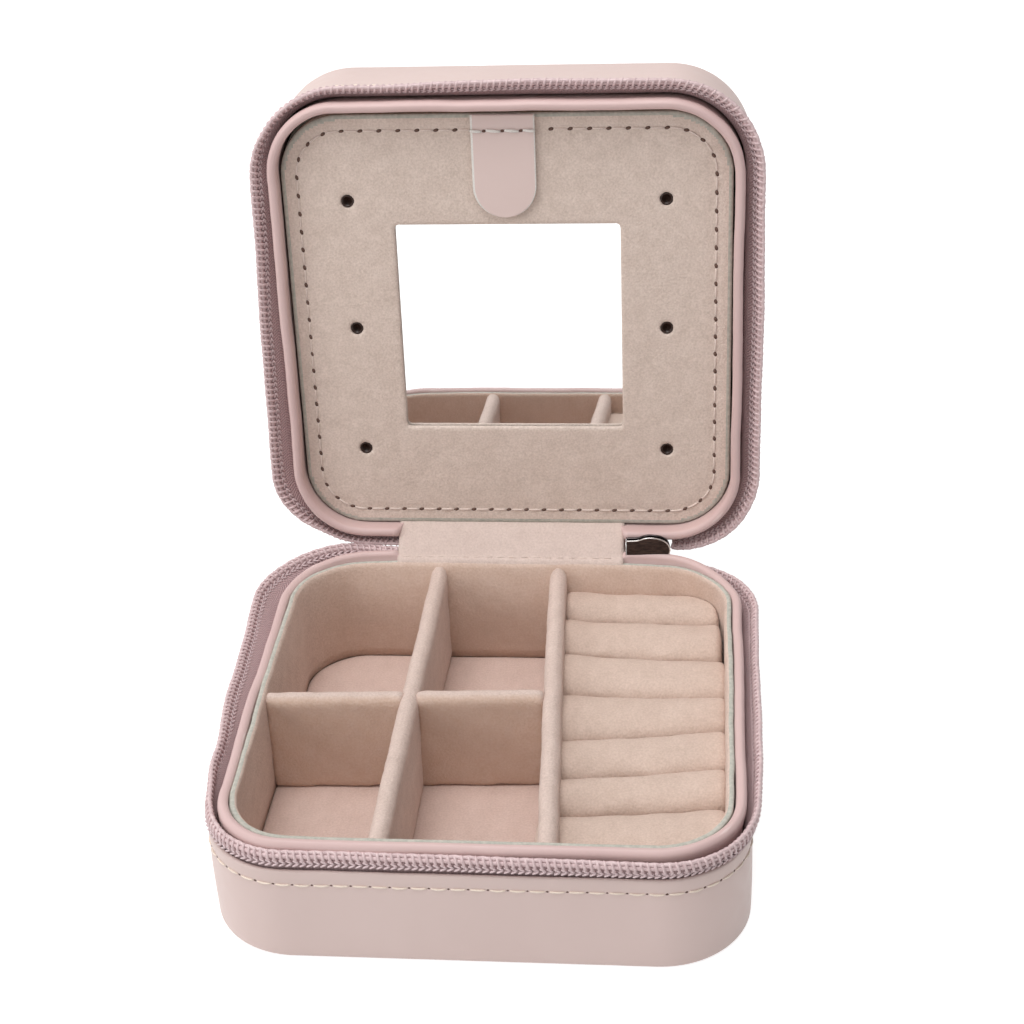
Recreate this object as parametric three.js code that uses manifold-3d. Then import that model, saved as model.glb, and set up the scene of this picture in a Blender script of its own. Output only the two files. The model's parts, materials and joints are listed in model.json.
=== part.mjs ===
// A travel jewelry case: a zipped rounded-square box whose lid, mirror panel, tab, dividers
// and zip pull all move. Millimetres, +Z up, +Y towards the hinge, origin under the tray's centre.
// Lid pieces are drawn in the closed position, then the lid group is turned open on the hinge.

import * as THREE from 'three';
import { mergeVertices } from 'three/addons/utils/BufferGeometryUtils.js';
import Module from 'manifold-3d';

const wasm = await Module();
wasm.setup();

// ---- driving dimensions -------------------------------------------------------------------

const HALF_WIDTH = 50;
const CORNER_RADIUS = 17;
const CORNER_STEPS = 8;
const CLOSED_HEIGHT = 51;
const MID_HEIGHT = CLOSED_HEIGHT / 2;
const GAP = 0.3;

const SHELL_THICKNESS = 0.8;
const SHELL_TOP = 20.3;
const BASE_THICKNESS = 0.9;
const BASE_ROUNDING = 1.2;

const LIP_OUTER = -1.9;
const LIP_INNER = -3.35;
const LIP_TOP = 25.2;
const LINER_OUTER = -3.6;
const LINER_INNER = -4.3;
const LINER_TOP = 25;
const WALL_BOTTOM = 2.3;

const BOARD_BOTTOM = 1.15;
const BOARD_TOP = 1.7;
const PAD_BOTTOM = 1.95;
const PAD_TOP = 2.5;

const TAPE_BOTTOM = 14;
const TAPE_INNER = -1.5;
const TAPE_THICKNESS = 0.45;
const TAPE_TOP = 22.9;
const COIL_CENTRE = 0.45;
const COIL_HEIGHT = 23.9;
const COIL_HALF_WIDTH = 0.55;
const COIL_HALF_HEIGHT = 0.7;

const STRIP_LEFT = -26.2;
const STRIP_RIGHT = 23.4;
const ZIP_LEFT = -27;
const ZIP_RIGHT = 24.5;

const HINGE_Y = 51.6;
const HINGE_Z = MID_HEIGHT;
const LID_OPEN_ANGLE = THREE.MathUtils.degToRad(93.5);

const DIVIDER_THICKNESS = 3.2;
const DIVIDER_BOTTOM = 2.9;
const DIVIDER_TOP = 24.2;
const DIVIDER_SKEW = THREE.MathUtils.degToRad(2.8);
const RING_DIVIDER_X = 11.4;
const RING_DIVIDER_Y = 1;
const LONG_DIVIDER_X = -16.8;
const SLOT_HEIGHT = 13.6;
const SLOT_CLEARANCE = 0.4;

const ROLL_COUNT = 7;
const ROLL_WIDTH = 12.4;
const ROLL_TOP = 20.5;

const PANEL_HALF_WIDTH = 45.9;
const PANEL_HALF_LENGTH = 45.5;
const PANEL_CENTRE_Y = 0.6;
const PANEL_CORNER = 12.8;
const PANEL_FACE = 30;
const PANEL_LAYER = 1;
const PANEL_BACK = PANEL_FACE + 3 * PANEL_LAYER + GAP;
const MIRROR_HALF_WIDTH = 23.3;
const MIRROR_HALF_LENGTH = 22.6;
const MIRROR_OVERLAP = 1.2;
const EARRING_X = 32.7;
const EARRING_PITCH = 27.75;
const EARRING_RADIUS = 1.3;

const TAB_HALF_WIDTH = 6.5;
const TAB_LENGTH = 21.5;
const TAB_SEAM = 3.2;
const TAB_THICKNESS = 0.8;

const SLIDER_X = 28.6;
const SLIDER_LENGTH = 9.8;
const PLATE_THICKNESS = 0.5;
const PLATE_HALF_HEIGHT = 2.8;
const PLATE_Z = 25;
const INNER_PLATE_Y = 49.2;
const OUTER_PLATE_Y = 51.3;
const PULL_Y = 52.4;
const PULL_PIVOT_Z = 26.4;
const PULL_LENGTH = 19;

// ---- materials ----------------------------------------------------------------------------

const MATERIALS = {
  leather: { color: 0xdfc6bf, roughness: 0.55, metalness: 0 },
  lipLeather: { color: 0xd9bdb8, roughness: 0.5, metalness: 0 },
  velvet: { color: 0xd6bcae, roughness: 0.95, metalness: 0 },
  tape: { color: 0xbfa3a4, roughness: 0.9, metalness: 0 },
  coil: { color: 0xc9aeb2, roughness: 0.55, metalness: 0 },
  board: { color: 0xb9a58d, roughness: 0.9, metalness: 0 },
  mirror: { color: 0xf2f4f5, roughness: 0.03, metalness: 1 },
  gunmetal: { color: 0x4a4548, roughness: 0.25, metalness: 0.95 },
};

function addPiece(group, name, geometry, look) {
  const mesh = new THREE.Mesh(geometry, new THREE.MeshStandardMaterial(MATERIALS[look]));
  mesh.name = name;
  group.add(mesh);
}

// ---- solids swept round the rounded square ------------------------------------------------

// One rounded corner of the outer outline, as points with outward normals, in anticlockwise order.
function cornerSamples(quarter, lastStep = CORNER_STEPS) {
  const samples = [];
  const centre = HALF_WIDTH - CORNER_RADIUS;
  const middle = (quarter + 0.5) * Math.PI / 2;
  const centreX = Math.sign(Math.cos(middle)) * centre;
  const centreY = Math.sign(Math.sin(middle)) * centre;
  for (let step = 0; step <= lastStep; step += 1) {
    const angle = (quarter + step / CORNER_STEPS) * Math.PI / 2;
    const normal = new THREE.Vector2(Math.cos(angle), Math.sin(angle));
    const point = new THREE.Vector2(centreX, centreY).addScaledVector(normal, CORNER_RADIUS);
    samples.push({ point, normal });
  }
  return samples;
}

function rearSample(x) {
  return { point: new THREE.Vector2(x, HALF_WIDTH), normal: new THREE.Vector2(0, 1) };
}

const WHOLE_OUTLINE = [0, 1, 2, 3].flatMap((quarter) => cornerSamples(quarter));
const SIDES_AND_FRONT = [1, 2, 3].flatMap((quarter) => cornerSamples(quarter));
const STEPS_BEFORE_SLIDER = CORNER_STEPS - 2;

// Round the sides and front, from the hinge strip's left end to its right end.
const ZIP_OUTLINE = [rearSample(ZIP_LEFT), ...SIDES_AND_FRONT, ...cornerSamples(0), rearSample(ZIP_RIGHT)];
// The same, but stopping short of the parked slider.
const SHORT_ZIP_OUTLINE = [rearSample(ZIP_LEFT), ...SIDES_AND_FRONT, ...cornerSamples(0, STEPS_BEFORE_SLIDER)];

// Sweeps a section, given as [offset from the outer wall, height] pairs in anticlockwise order.
// ends: 'joined' closes the sweep on itself, 'capped' closes its two ends, and 'floors' is for a
// whole outline whose section is open, which gets a flat floor at its first and last pair.
function sweepSection(section, outline, ends) {
  const positions = [];
  const faces = [];
  const count = section.length;
  for (const { point, normal } of outline) {
    for (const [offset, height] of section) {
      positions.push(point.x + normal.x * offset, point.y + normal.y * offset, height);
    }
  }
  const index = (sample, corner) => (sample % outline.length) * count + (corner % count);
  const spans = ends === 'capped' ? outline.length - 1 : outline.length;
  const sides = ends === 'floors' ? count - 1 : count;
  for (let sample = 0; sample < spans; sample += 1) {
    for (let corner = 0; corner < sides; corner += 1) {
      const a = index(sample + 1, corner);
      const b = index(sample + 1, corner + 1);
      const c = index(sample, corner + 1);
      const d = index(sample, corner);
      faces.push(a, b, c, a, c, d);
    }
  }
  if (ends === 'capped') {
    const contour = section.map(([offset, height]) => new THREE.Vector2(offset, height));
    const last = outline.length - 1;
    for (const [a, b, c] of THREE.ShapeUtils.triangulateShape(contour, [])) {
      faces.push(index(0, a), index(0, b), index(0, c));
      faces.push(index(last, c), index(last, b), index(last, a));
    }
  }
  if (ends === 'floors') {
    const bottom = positions.length / 3;
    positions.push(0, 0, section[0][1], 0, 0, section[count - 1][1]);
    for (let sample = 0; sample < outline.length; sample += 1) {
      faces.push(bottom, index(sample + 1, 0), index(sample, 0));
      faces.push(bottom + 1, index(sample, count - 1), index(sample + 1, count - 1));
    }
  }
  const geometry = new THREE.BufferGeometry();
  geometry.setAttribute('position', new THREE.Float32BufferAttribute(positions, 3));
  geometry.setIndex(faces);
  return geometry;
}

const ring = (section) => sweepSection(section, WHOLE_OUTLINE, 'joined');
const cup = (section) => sweepSection(section, WHOLE_OUTLINE, 'floors');
const plate = (offset, bottom, top) => cup([[offset, bottom], [offset, top]]);

// The same section in the closed lid, upside down above the meeting plane.
const inLid = (section) => section.map(([offset, height]) => [offset, CLOSED_HEIGHT - height]).reverse();

// ---- booleans -----------------------------------------------------------------------------

function toSolid(geometry) {
  const bare = geometry.clone();
  bare.deleteAttribute('normal');
  bare.deleteAttribute('uv');
  const merged = mergeVertices(bare, 1e-4);
  return new wasm.Manifold(new wasm.Mesh({
    numProp: 3,
    vertProperties: new Float32Array(merged.attributes.position.array),
    triVerts: new Uint32Array(merged.index.array),
  }));
}

function toGeometry(solid) {
  const mesh = solid.getMesh();
  const geometry = new THREE.BufferGeometry();
  geometry.setAttribute('position', new THREE.BufferAttribute(mesh.vertProperties, 3));
  geometry.setIndex(new THREE.BufferAttribute(mesh.triVerts, 1));
  return geometry;
}

const cut = (geometry, tool) => toGeometry(toSolid(geometry).subtract(toSolid(tool)));
const keepInside = (geometry, limit) => toGeometry(toSolid(geometry).intersect(toSolid(limit)));
const join = (...geometries) => toGeometry(geometries.map(toSolid).reduce((all, next) => all.add(next)));

function box(low, high) {
  const size = high.map((value, axis) => value - low[axis]);
  const geometry = new THREE.BoxGeometry(...size);
  return geometry.translate(...low.map((value, axis) => value + size[axis] / 2));
}

// ---- extrusions ---------------------------------------------------------------------------

function polygon(points) {
  return new THREE.Shape(points.map(([x, y]) => new THREE.Vector2(x, y)));
}

function roundedRectangle(centreY, halfWidth, halfLength, radius) {
  const shape = new THREE.Shape();
  const right = halfWidth - radius;
  const rear = centreY + halfLength - radius;
  const front = centreY - halfLength + radius;
  shape.absarc(right, rear, radius, 0, Math.PI / 2);
  shape.absarc(-right, rear, radius, Math.PI / 2, Math.PI);
  shape.absarc(-right, front, radius, Math.PI, 1.5 * Math.PI);
  shape.absarc(right, front, radius, 1.5 * Math.PI, 2 * Math.PI);
  return shape;
}

function extrude(shape, depth, curveSegments = CORNER_STEPS) {
  return new THREE.ExtrudeGeometry(shape, { depth, bevelEnabled: false, curveSegments });
}

// A flat layer between two heights.
const layer = (shape, bottom, top, segments) => extrude(shape, top - bottom, segments).translate(0, 0, bottom);

// A section in the YZ plane, drawn out from one X to another.
function alongX(shape, left, right) {
  const toX = new THREE.Matrix4().makeBasis(
    new THREE.Vector3(0, 1, 0), new THREE.Vector3(0, 0, 1), new THREE.Vector3(1, 0, 0));
  return extrude(shape, right - left).applyMatrix4(toX).translate(left, 0, 0);
}

// A section in the XZ plane, drawn out from one Y to another.
function alongY(shape, front, rear) {
  return extrude(shape, rear - front).rotateX(Math.PI / 2).translate(0, rear, 0);
}

// ---- tray ---------------------------------------------------------------------------------

const SHELL_SECTION = [
  [-BASE_ROUNDING, 0],
  [-0.3 * BASE_ROUNDING, 0.3 * BASE_ROUNDING],
  [0, BASE_ROUNDING],
  [0, SHELL_TOP],
  [-SHELL_THICKNESS, SHELL_TOP],
  [-SHELL_THICKNESS, BASE_ROUNDING + 0.4],
  [-BASE_ROUNDING - 0.4, BASE_THICKNESS],
];

const LIP_SECTION = [
  [LIP_INNER, WALL_BOTTOM],
  [LIP_OUTER, WALL_BOTTOM],
  [LIP_OUTER, LIP_TOP - 0.8],
  [LIP_OUTER - 0.3, LIP_TOP - 0.2],
  [(LIP_OUTER + LIP_INNER) / 2, LIP_TOP],
  [LIP_INNER + 0.3, LIP_TOP - 0.2],
  [LIP_INNER, LIP_TOP - 0.6],
];

const WALL_BOARD_SECTION = [
  [-1.6, BASE_ROUNDING + 1],
  [-1.1, BASE_ROUNDING + 1],
  [-1.1, TAPE_BOTTOM - GAP],
  [-1.6, TAPE_BOTTOM - GAP],
];

const TAPE_SECTION = [
  [TAPE_INNER, TAPE_BOTTOM],
  [TAPE_INNER + TAPE_THICKNESS, TAPE_BOTTOM],
  [TAPE_INNER + TAPE_THICKNESS, SHELL_TOP],
  [0.3 + TAPE_THICKNESS, TAPE_TOP - 0.2],
  [0.3, TAPE_TOP],
  [TAPE_INNER, SHELL_TOP + 0.2],
];

function coilSection() {
  const section = [];
  const sides = 8;
  for (let side = 0; side < sides; side += 1) {
    const angle = (side + 0.5) / sides * 2 * Math.PI;
    section.push([
      COIL_CENTRE + COIL_HALF_WIDTH * Math.cos(angle),
      COIL_HEIGHT + COIL_HALF_HEIGHT * Math.sin(angle),
    ]);
  }
  return section;
}

const linerSection = (bottom, top) => [
  [LINER_INNER, bottom], [LINER_OUTER, bottom], [LINER_OUTER, top], [LINER_INNER, top]];

// The lips are cut lower under the velvet hinge strip.
const STRIP_THICKNESS = 0.4;
const STRIP_TOP = MID_HEIGHT - 0.25;
const NOTCH_DEPTH = MID_HEIGHT - (STRIP_TOP - STRIP_THICKNESS - GAP);
const STRIP_NOTCH = box(
  [STRIP_LEFT - GAP, HALF_WIDTH + LINER_INNER, MID_HEIGHT - NOTCH_DEPTH],
  [STRIP_RIGHT + GAP, HALF_WIDTH, MID_HEIGHT + NOTCH_DEPTH]);
const STRIP_FRONT_Y = HALF_WIDTH + LIP_INNER;
const STRIP_REAR_Y = 50.3;

const SPINE_SECTION = [
  [HALF_WIDTH + TAPE_INNER, TAPE_BOTTOM],
  [HALF_WIDTH + TAPE_INNER + TAPE_THICKNESS, TAPE_BOTTOM],
  [HALF_WIDTH + TAPE_INNER + TAPE_THICKNESS, SHELL_TOP],
  [51.25, STRIP_TOP - 0.1],
  [50.8, STRIP_TOP - 0.1],
  [HALF_WIDTH + TAPE_INNER, SHELL_TOP + 0.2],
];

function addTrayWalls(tray) {
  addPiece(tray, 'tray_shell', cup(SHELL_SECTION), 'leather');
  addPiece(tray, 'tray_base_board', plate(-BASE_ROUNDING - 0.6, BOARD_BOTTOM, BOARD_TOP), 'board');
  addPiece(tray, 'tray_wall_board', ring(WALL_BOARD_SECTION), 'board');
  addPiece(tray, 'tray_lip', cut(ring(LIP_SECTION), STRIP_NOTCH), 'lipLeather');
  addPiece(tray, 'tray_liner', ring(linerSection(WALL_BOTTOM, LINER_TOP)), 'velvet');
  addPiece(tray, 'tray_floor_pad', plate(LINER_INNER - GAP, PAD_BOTTOM, PAD_TOP), 'velvet');
  addPiece(tray, 'tray_zip_tape', sweepSection(TAPE_SECTION, SHORT_ZIP_OUTLINE, 'capped'), 'tape');
  addPiece(tray, 'tray_zip_coil', sweepSection(coilSection(), ZIP_OUTLINE, 'capped'), 'coil');
}

function addTrayHingeHalves(tray) {
  const strip = box([STRIP_LEFT, STRIP_FRONT_Y, STRIP_TOP - STRIP_THICKNESS], [STRIP_RIGHT, STRIP_REAR_Y, STRIP_TOP]);
  addPiece(tray, 'hinge_strip_tray_half', strip, 'velvet');
  addPiece(tray, 'hinge_spine_tray_half', alongX(polygon(SPINE_SECTION), STRIP_LEFT, STRIP_RIGHT), 'leather');
}

// ---- inside the tray ----------------------------------------------------------------------

const COMPARTMENT = plate(LINER_INNER - GAP, PAD_TOP, LIP_TOP);

// A board with a rounded top edge, on end.
function dividerShape(thickness, bottom) {
  const half = thickness / 2;
  const shape = new THREE.Shape();
  shape.moveTo(-half, bottom);
  shape.lineTo(half, bottom);
  shape.absarc(0, DIVIDER_TOP - half, half, 0, Math.PI);
  return shape;
}

// The ring divider and the cross divider stand square to each other, turned a little in the tray.
const turnedInTray = (geometry) => geometry
  .rotateZ(DIVIDER_SKEW)
  .translate(RING_DIVIDER_X, RING_DIVIDER_Y, 0);

function crossBar(thickness, bottom) {
  const bar = alongX(dividerShape(thickness, bottom), -2 * HALF_WIDTH, -DIVIDER_THICKNESS / 2 - GAP);
  return keepInside(turnedInTray(bar), COMPARTMENT);
}

function longBar(thickness, bottom) {
  const bar = alongY(dividerShape(thickness, bottom), -HALF_WIDTH, HALF_WIDTH);
  return keepInside(bar.translate(LONG_DIVIDER_X, 0, 0), COMPARTMENT);
}

function ringDivider() {
  const bar = alongY(dividerShape(DIVIDER_THICKNESS, DIVIDER_BOTTOM), -HALF_WIDTH - 5, HALF_WIDTH);
  return keepInside(turnedInTray(bar), COMPARTMENT);
}

function crossDivider() {
  const half = DIVIDER_THICKNESS / 2 + SLOT_CLEARANCE;
  const slot = box(
    [LONG_DIVIDER_X - half, -HALF_WIDTH, SLOT_HEIGHT],
    [LONG_DIVIDER_X + half, HALF_WIDTH, CLOSED_HEIGHT]);
  return cut(crossBar(DIVIDER_THICKNESS, DIVIDER_BOTTOM), slot);
}

function longDivider() {
  const thickness = DIVIDER_THICKNESS + 2 * SLOT_CLEARANCE;
  const lowerHalf = box([-HALF_WIDTH, -HALF_WIDTH, 0], [HALF_WIDTH, HALF_WIDTH, SLOT_HEIGHT + GAP]);
  const slot = keepInside(crossBar(thickness, PAD_TOP), lowerHalf);
  return cut(longBar(DIVIDER_THICKNESS, DIVIDER_BOTTOM), slot);
}

// A foam roll standing on its edge: flat sides, half-round top.
function ringRoll(number) {
  const half = ROLL_WIDTH / 2;
  const shape = new THREE.Shape();
  shape.moveTo(-half, DIVIDER_BOTTOM);
  shape.lineTo(half, DIVIDER_BOTTOM);
  shape.absarc(0, ROLL_TOP - half, half, 0, Math.PI);
  const span = 2 * (HALF_WIDTH + LINER_INNER - GAP);
  const pitch = span / ROLL_COUNT;
  const middle = (ROLL_COUNT - 1) / 2;
  const bar = alongX(shape, DIVIDER_THICKNESS / 2 + GAP, HALF_WIDTH);
  bar.translate(0, (middle - number) * pitch, 0).rotateZ(DIVIDER_SKEW).translate(RING_DIVIDER_X, -1.4, 0);
  return keepInside(bar, COMPARTMENT);
}

function addRingSide(tray) {
  addPiece(tray, 'ring_divider', ringDivider(), 'velvet');
  for (let number = 0; number < ROLL_COUNT; number += 1) {
    addPiece(tray, `ring_roll_${number + 1}`, ringRoll(number), 'velvet');
  }
}

// ---- zip slider and pull ------------------------------------------------------------------

// A shield-shaped plate: straight at the tail, humped over the wedge, rounded at the nose.
function sliderPlate(front) {
  const half = SLIDER_LENGTH / 2;
  const tail = 0.7 * PLATE_HALF_HEIGHT;
  const shape = new THREE.Shape();
  shape.moveTo(-half, -tail);
  shape.lineTo(-0.35 * half, -tail);
  shape.quadraticCurveTo(0, -PLATE_HALF_HEIGHT, 0.3 * half, -PLATE_HALF_HEIGHT);
  shape.quadraticCurveTo(half, -0.8 * PLATE_HALF_HEIGHT, half, 0);
  shape.quadraticCurveTo(half, 0.8 * PLATE_HALF_HEIGHT, 0.3 * half, PLATE_HALF_HEIGHT);
  shape.quadraticCurveTo(0, PLATE_HALF_HEIGHT, -0.35 * half, tail);
  shape.lineTo(-half, tail);
  return alongY(shape, front, front + PLATE_THICKNESS).translate(SLIDER_X, 0, PLATE_Z);
}

// A wire arch on the outer plate that holds the pull's top bar.
function sliderBail() {
  const wire = new THREE.Shape().absarc(0, 0, 0.3, 0, 2 * Math.PI);
  const root = OUTER_PLATE_Y + 0.2;
  const arch = new THREE.CatmullRomCurve3([
    new THREE.Vector3(SLIDER_X, root, 25.2),
    new THREE.Vector3(SLIDER_X, 52.6, 25.2),
    new THREE.Vector3(SLIDER_X, 53.3, 25.6),
    new THREE.Vector3(SLIDER_X, 53.3, 27.2),
    new THREE.Vector3(SLIDER_X, 52.6, 27.6),
    new THREE.Vector3(SLIDER_X, root, 27.6),
  ]);
  return new THREE.ExtrudeGeometry(wire, { steps: 16, curveSegments: 4, bevelEnabled: false, extrudePath: arch });
}

function zipSlider() {
  const wedgeBottom = COIL_HEIGHT + COIL_HALF_HEIGHT + GAP;
  const wedge = box(
    [SLIDER_X - 1, INNER_PLATE_Y + 0.1, wedgeBottom],
    [SLIDER_X + 2.5, OUTER_PLATE_Y + 0.1, CLOSED_HEIGHT - wedgeBottom]);
  return join(sliderPlate(INNER_PLATE_Y), sliderPlate(OUTER_PLATE_Y), wedge, sliderBail());
}

function zipPull() {
  const eyeBottom = PULL_PIVOT_Z - 2.5;
  const eyeTop = PULL_PIVOT_Z - 0.4;
  const tip = PULL_PIVOT_Z - PULL_LENGTH;
  const shape = new THREE.Shape();
  shape.moveTo(-1.5, PULL_PIVOT_Z + 0.4);
  shape.lineTo(-1.8, eyeBottom - 1);
  shape.lineTo(-2.4, tip + 3);
  shape.absarc(0, tip + 2.4, 2.4, Math.PI, 2 * Math.PI);
  shape.lineTo(1.8, eyeBottom - 1);
  shape.lineTo(1.5, PULL_PIVOT_Z + 0.4);
  const eye = polygon([[-0.8, eyeBottom], [-0.8, eyeTop], [0.8, eyeTop], [0.8, eyeBottom]]);
  shape.holes.push(eye);
  return alongY(shape, PULL_Y - 0.3, PULL_Y + 0.3).translate(SLIDER_X, 0, 0);
}

// ---- lid ----------------------------------------------------------------------------------

function addLidWalls(lid) {
  const ceiling = CLOSED_HEIGHT;
  addPiece(lid, 'lid_shell', cup(inLid(SHELL_SECTION)), 'leather');
  addPiece(lid, 'lid_top_board', plate(-BASE_ROUNDING - 0.6, ceiling - BOARD_TOP, ceiling - BOARD_BOTTOM), 'board');
  addPiece(lid, 'lid_wall_board', ring(inLid(WALL_BOARD_SECTION)), 'board');
  addPiece(lid, 'lid_lip', cut(ring(inLid(LIP_SECTION)), STRIP_NOTCH), 'lipLeather');
  addPiece(lid, 'lid_liner', ring(linerSection(PANEL_BACK + 2 * GAP, ceiling - WALL_BOTTOM)), 'velvet');
  addPiece(lid, 'lid_lining', plate(LINER_INNER - GAP, ceiling - PAD_TOP, ceiling - PAD_BOTTOM), 'velvet');
  addPiece(lid, 'lid_zip_tape', sweepSection(inLid(TAPE_SECTION), SHORT_ZIP_OUTLINE, 'capped'), 'tape');
  addPiece(lid, 'lid_zip_coil', sweepSection(inLid(coilSection()), SHORT_ZIP_OUTLINE, 'capped'), 'coil');
}

function addLidHingeHalves(lid) {
  const top = CLOSED_HEIGHT - STRIP_TOP;
  const strip = box([STRIP_LEFT, STRIP_FRONT_Y, top], [STRIP_RIGHT, STRIP_REAR_Y, top + STRIP_THICKNESS]);
  addPiece(lid, 'hinge_strip_lid_half', strip, 'velvet');
  addPiece(lid, 'hinge_spine_lid_half', alongX(polygon(inLid(SPINE_SECTION)), STRIP_LEFT, STRIP_RIGHT), 'leather');
}

// ---- mirror panel -------------------------------------------------------------------------

function addEarringHoles(shape) {
  for (const x of [-EARRING_X, EARRING_X]) {
    for (const row of [-1, 0, 1]) {
      const y = PANEL_CENTRE_Y + row * EARRING_PITCH;
      shape.holes.push(new THREE.Path().absarc(x, y, EARRING_RADIUS, 0, 2 * Math.PI));
    }
  }
}

function panelShape(windowMargin) {
  const shape = roundedRectangle(PANEL_CENTRE_Y, PANEL_HALF_WIDTH, PANEL_HALF_LENGTH, PANEL_CORNER);
  addEarringHoles(shape);
  if (windowMargin !== null) {
    shape.holes.push(roundedRectangle(
      PANEL_CENTRE_Y, MIRROR_HALF_WIDTH + windowMargin, MIRROR_HALF_LENGTH + windowMargin, 1));
  }
  return shape;
}

function addPanel(panel) {
  const frameBottom = PANEL_FACE + PANEL_LAYER + GAP / 2;
  const backBottom = frameBottom + PANEL_LAYER + GAP / 2;
  const glass = roundedRectangle(
    PANEL_CENTRE_Y, MIRROR_HALF_WIDTH + MIRROR_OVERLAP, MIRROR_HALF_LENGTH + MIRROR_OVERLAP, 0.6);
  addPiece(panel, 'panel_face', layer(panelShape(0), PANEL_FACE, PANEL_FACE + PANEL_LAYER), 'velvet');
  addPiece(panel, 'panel_frame', layer(
    panelShape(MIRROR_OVERLAP + GAP), frameBottom, frameBottom + PANEL_LAYER), 'board');
  addPiece(panel, 'mirror_glass', layer(glass, frameBottom, frameBottom + PANEL_LAYER, 2), 'mirror');
  addPiece(panel, 'panel_back', layer(panelShape(null), backBottom, PANEL_BACK), 'velvet');
  const frontEdge = PANEL_CENTRE_Y - PANEL_HALF_LENGTH;
  const seam = frontEdge + TAB_SEAM;
  addPiece(panel, 'tab_root', box(
    [-TAB_HALF_WIDTH, frontEdge, PANEL_FACE - GAP - TAB_THICKNESS],
    [TAB_HALF_WIDTH, seam - GAP, PANEL_FACE - GAP]), 'leather');
}

function pullTab() {
  const seam = PANEL_CENTRE_Y - PANEL_HALF_LENGTH + TAB_SEAM;
  const end = PANEL_CENTRE_Y - PANEL_HALF_LENGTH + TAB_LENGTH;
  const shape = new THREE.Shape();
  shape.moveTo(-TAB_HALF_WIDTH, seam + GAP);
  shape.lineTo(TAB_HALF_WIDTH, seam + GAP);
  shape.absarc(0, end - TAB_HALF_WIDTH, TAB_HALF_WIDTH, 0, Math.PI);
  return layer(shape, PANEL_FACE - GAP - TAB_THICKNESS, PANEL_FACE - GAP);
}

// ---- assembly -----------------------------------------------------------------------------

function buildCase() {
  const jewelryCase = new THREE.Group();

  const tray = new THREE.Group();
  addTrayWalls(tray);
  addTrayHingeHalves(tray);
  addRingSide(tray);
  addPiece(tray, 'cross_divider', crossDivider(), 'velvet');
  addPiece(tray, 'long_divider', longDivider(), 'velvet');
  addPiece(tray, 'zip_slider', zipSlider(), 'gunmetal');
  addPiece(tray, 'zip_pull', zipPull(), 'gunmetal');
  jewelryCase.add(tray);

  const lid = new THREE.Group();
  addLidWalls(lid);
  addLidHingeHalves(lid);
  const panel = new THREE.Group();
  addPanel(panel);
  addPiece(panel, 'pull_tab', pullTab(), 'leather');
  lid.add(panel);
  lid.position.set(0, -HINGE_Y, -HINGE_Z);

  const hinge = new THREE.Group();
  hinge.position.set(0, HINGE_Y, HINGE_Z);
  hinge.rotation.x = -LID_OPEN_ANGLE;
  hinge.add(lid);
  jewelryCase.add(hinge);

  return jewelryCase;
}

export default buildCase();
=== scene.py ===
import json
import math
from collections import namedtuple

import bmesh
import bpy
import numpy as np
from mathutils import Matrix, Vector


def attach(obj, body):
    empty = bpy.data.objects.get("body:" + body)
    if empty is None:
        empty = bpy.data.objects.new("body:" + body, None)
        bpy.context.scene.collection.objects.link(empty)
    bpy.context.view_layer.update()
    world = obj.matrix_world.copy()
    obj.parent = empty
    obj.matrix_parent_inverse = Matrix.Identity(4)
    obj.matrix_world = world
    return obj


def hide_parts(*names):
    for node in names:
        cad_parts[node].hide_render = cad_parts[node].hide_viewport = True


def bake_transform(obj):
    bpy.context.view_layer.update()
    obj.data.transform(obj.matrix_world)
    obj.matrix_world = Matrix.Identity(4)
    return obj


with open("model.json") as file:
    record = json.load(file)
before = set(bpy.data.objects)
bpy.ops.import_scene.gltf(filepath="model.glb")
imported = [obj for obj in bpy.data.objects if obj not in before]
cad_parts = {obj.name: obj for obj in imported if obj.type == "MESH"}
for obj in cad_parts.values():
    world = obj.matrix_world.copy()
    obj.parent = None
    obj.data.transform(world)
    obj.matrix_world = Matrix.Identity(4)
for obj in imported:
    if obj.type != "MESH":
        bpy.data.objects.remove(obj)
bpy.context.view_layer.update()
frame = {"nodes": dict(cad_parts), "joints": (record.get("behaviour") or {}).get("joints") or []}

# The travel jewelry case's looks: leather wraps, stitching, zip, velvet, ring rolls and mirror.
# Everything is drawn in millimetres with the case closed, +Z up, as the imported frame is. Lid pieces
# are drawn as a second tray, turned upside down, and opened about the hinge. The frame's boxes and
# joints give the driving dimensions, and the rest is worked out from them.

MM = 0.001
JOINTS = {joint["name"]: joint for joint in frame["joints"]}
HINGE_Y = JOINTS["lid_hinge"]["pos_m"][1] / MM
HINGE_Z = JOINTS["lid_hinge"]["pos_m"][2] / MM
OPEN_ANGLE = -math.radians(JOINTS["lid_hinge"]["range_deg"][0])


# ---- places -----------------------------------------------------------------------------------

def turned(points, angle):
    """Points turned backwards about the lid's hinge."""
    result = np.array(points, float)
    y = result[..., 1] - HINGE_Y
    z = result[..., 2] - HINGE_Z
    result[..., 1] = HINGE_Y + y * math.cos(angle) + z * math.sin(angle)
    result[..., 2] = HINGE_Z - y * math.sin(angle) + z * math.cos(angle)
    return result


def as_drawn(points):
    """The tray is drawn in its place already."""
    return points


def opened(points):
    """From the closed drawing to the lid's place at rest."""
    return turned(points, OPEN_ANGLE)


def drawn_box(node, in_lid=False):
    """A CAD node's lowest and highest corner in the closed drawing, in millimetres."""
    points = np.array([vertex.co for vertex in frame["nodes"][node].data.vertices]) / MM
    if in_lid:
        points = turned(points, -OPEN_ANGLE)
    return points.min(axis=0), points.max(axis=0)


# ---- driving dimensions -----------------------------------------------------------------------

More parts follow.
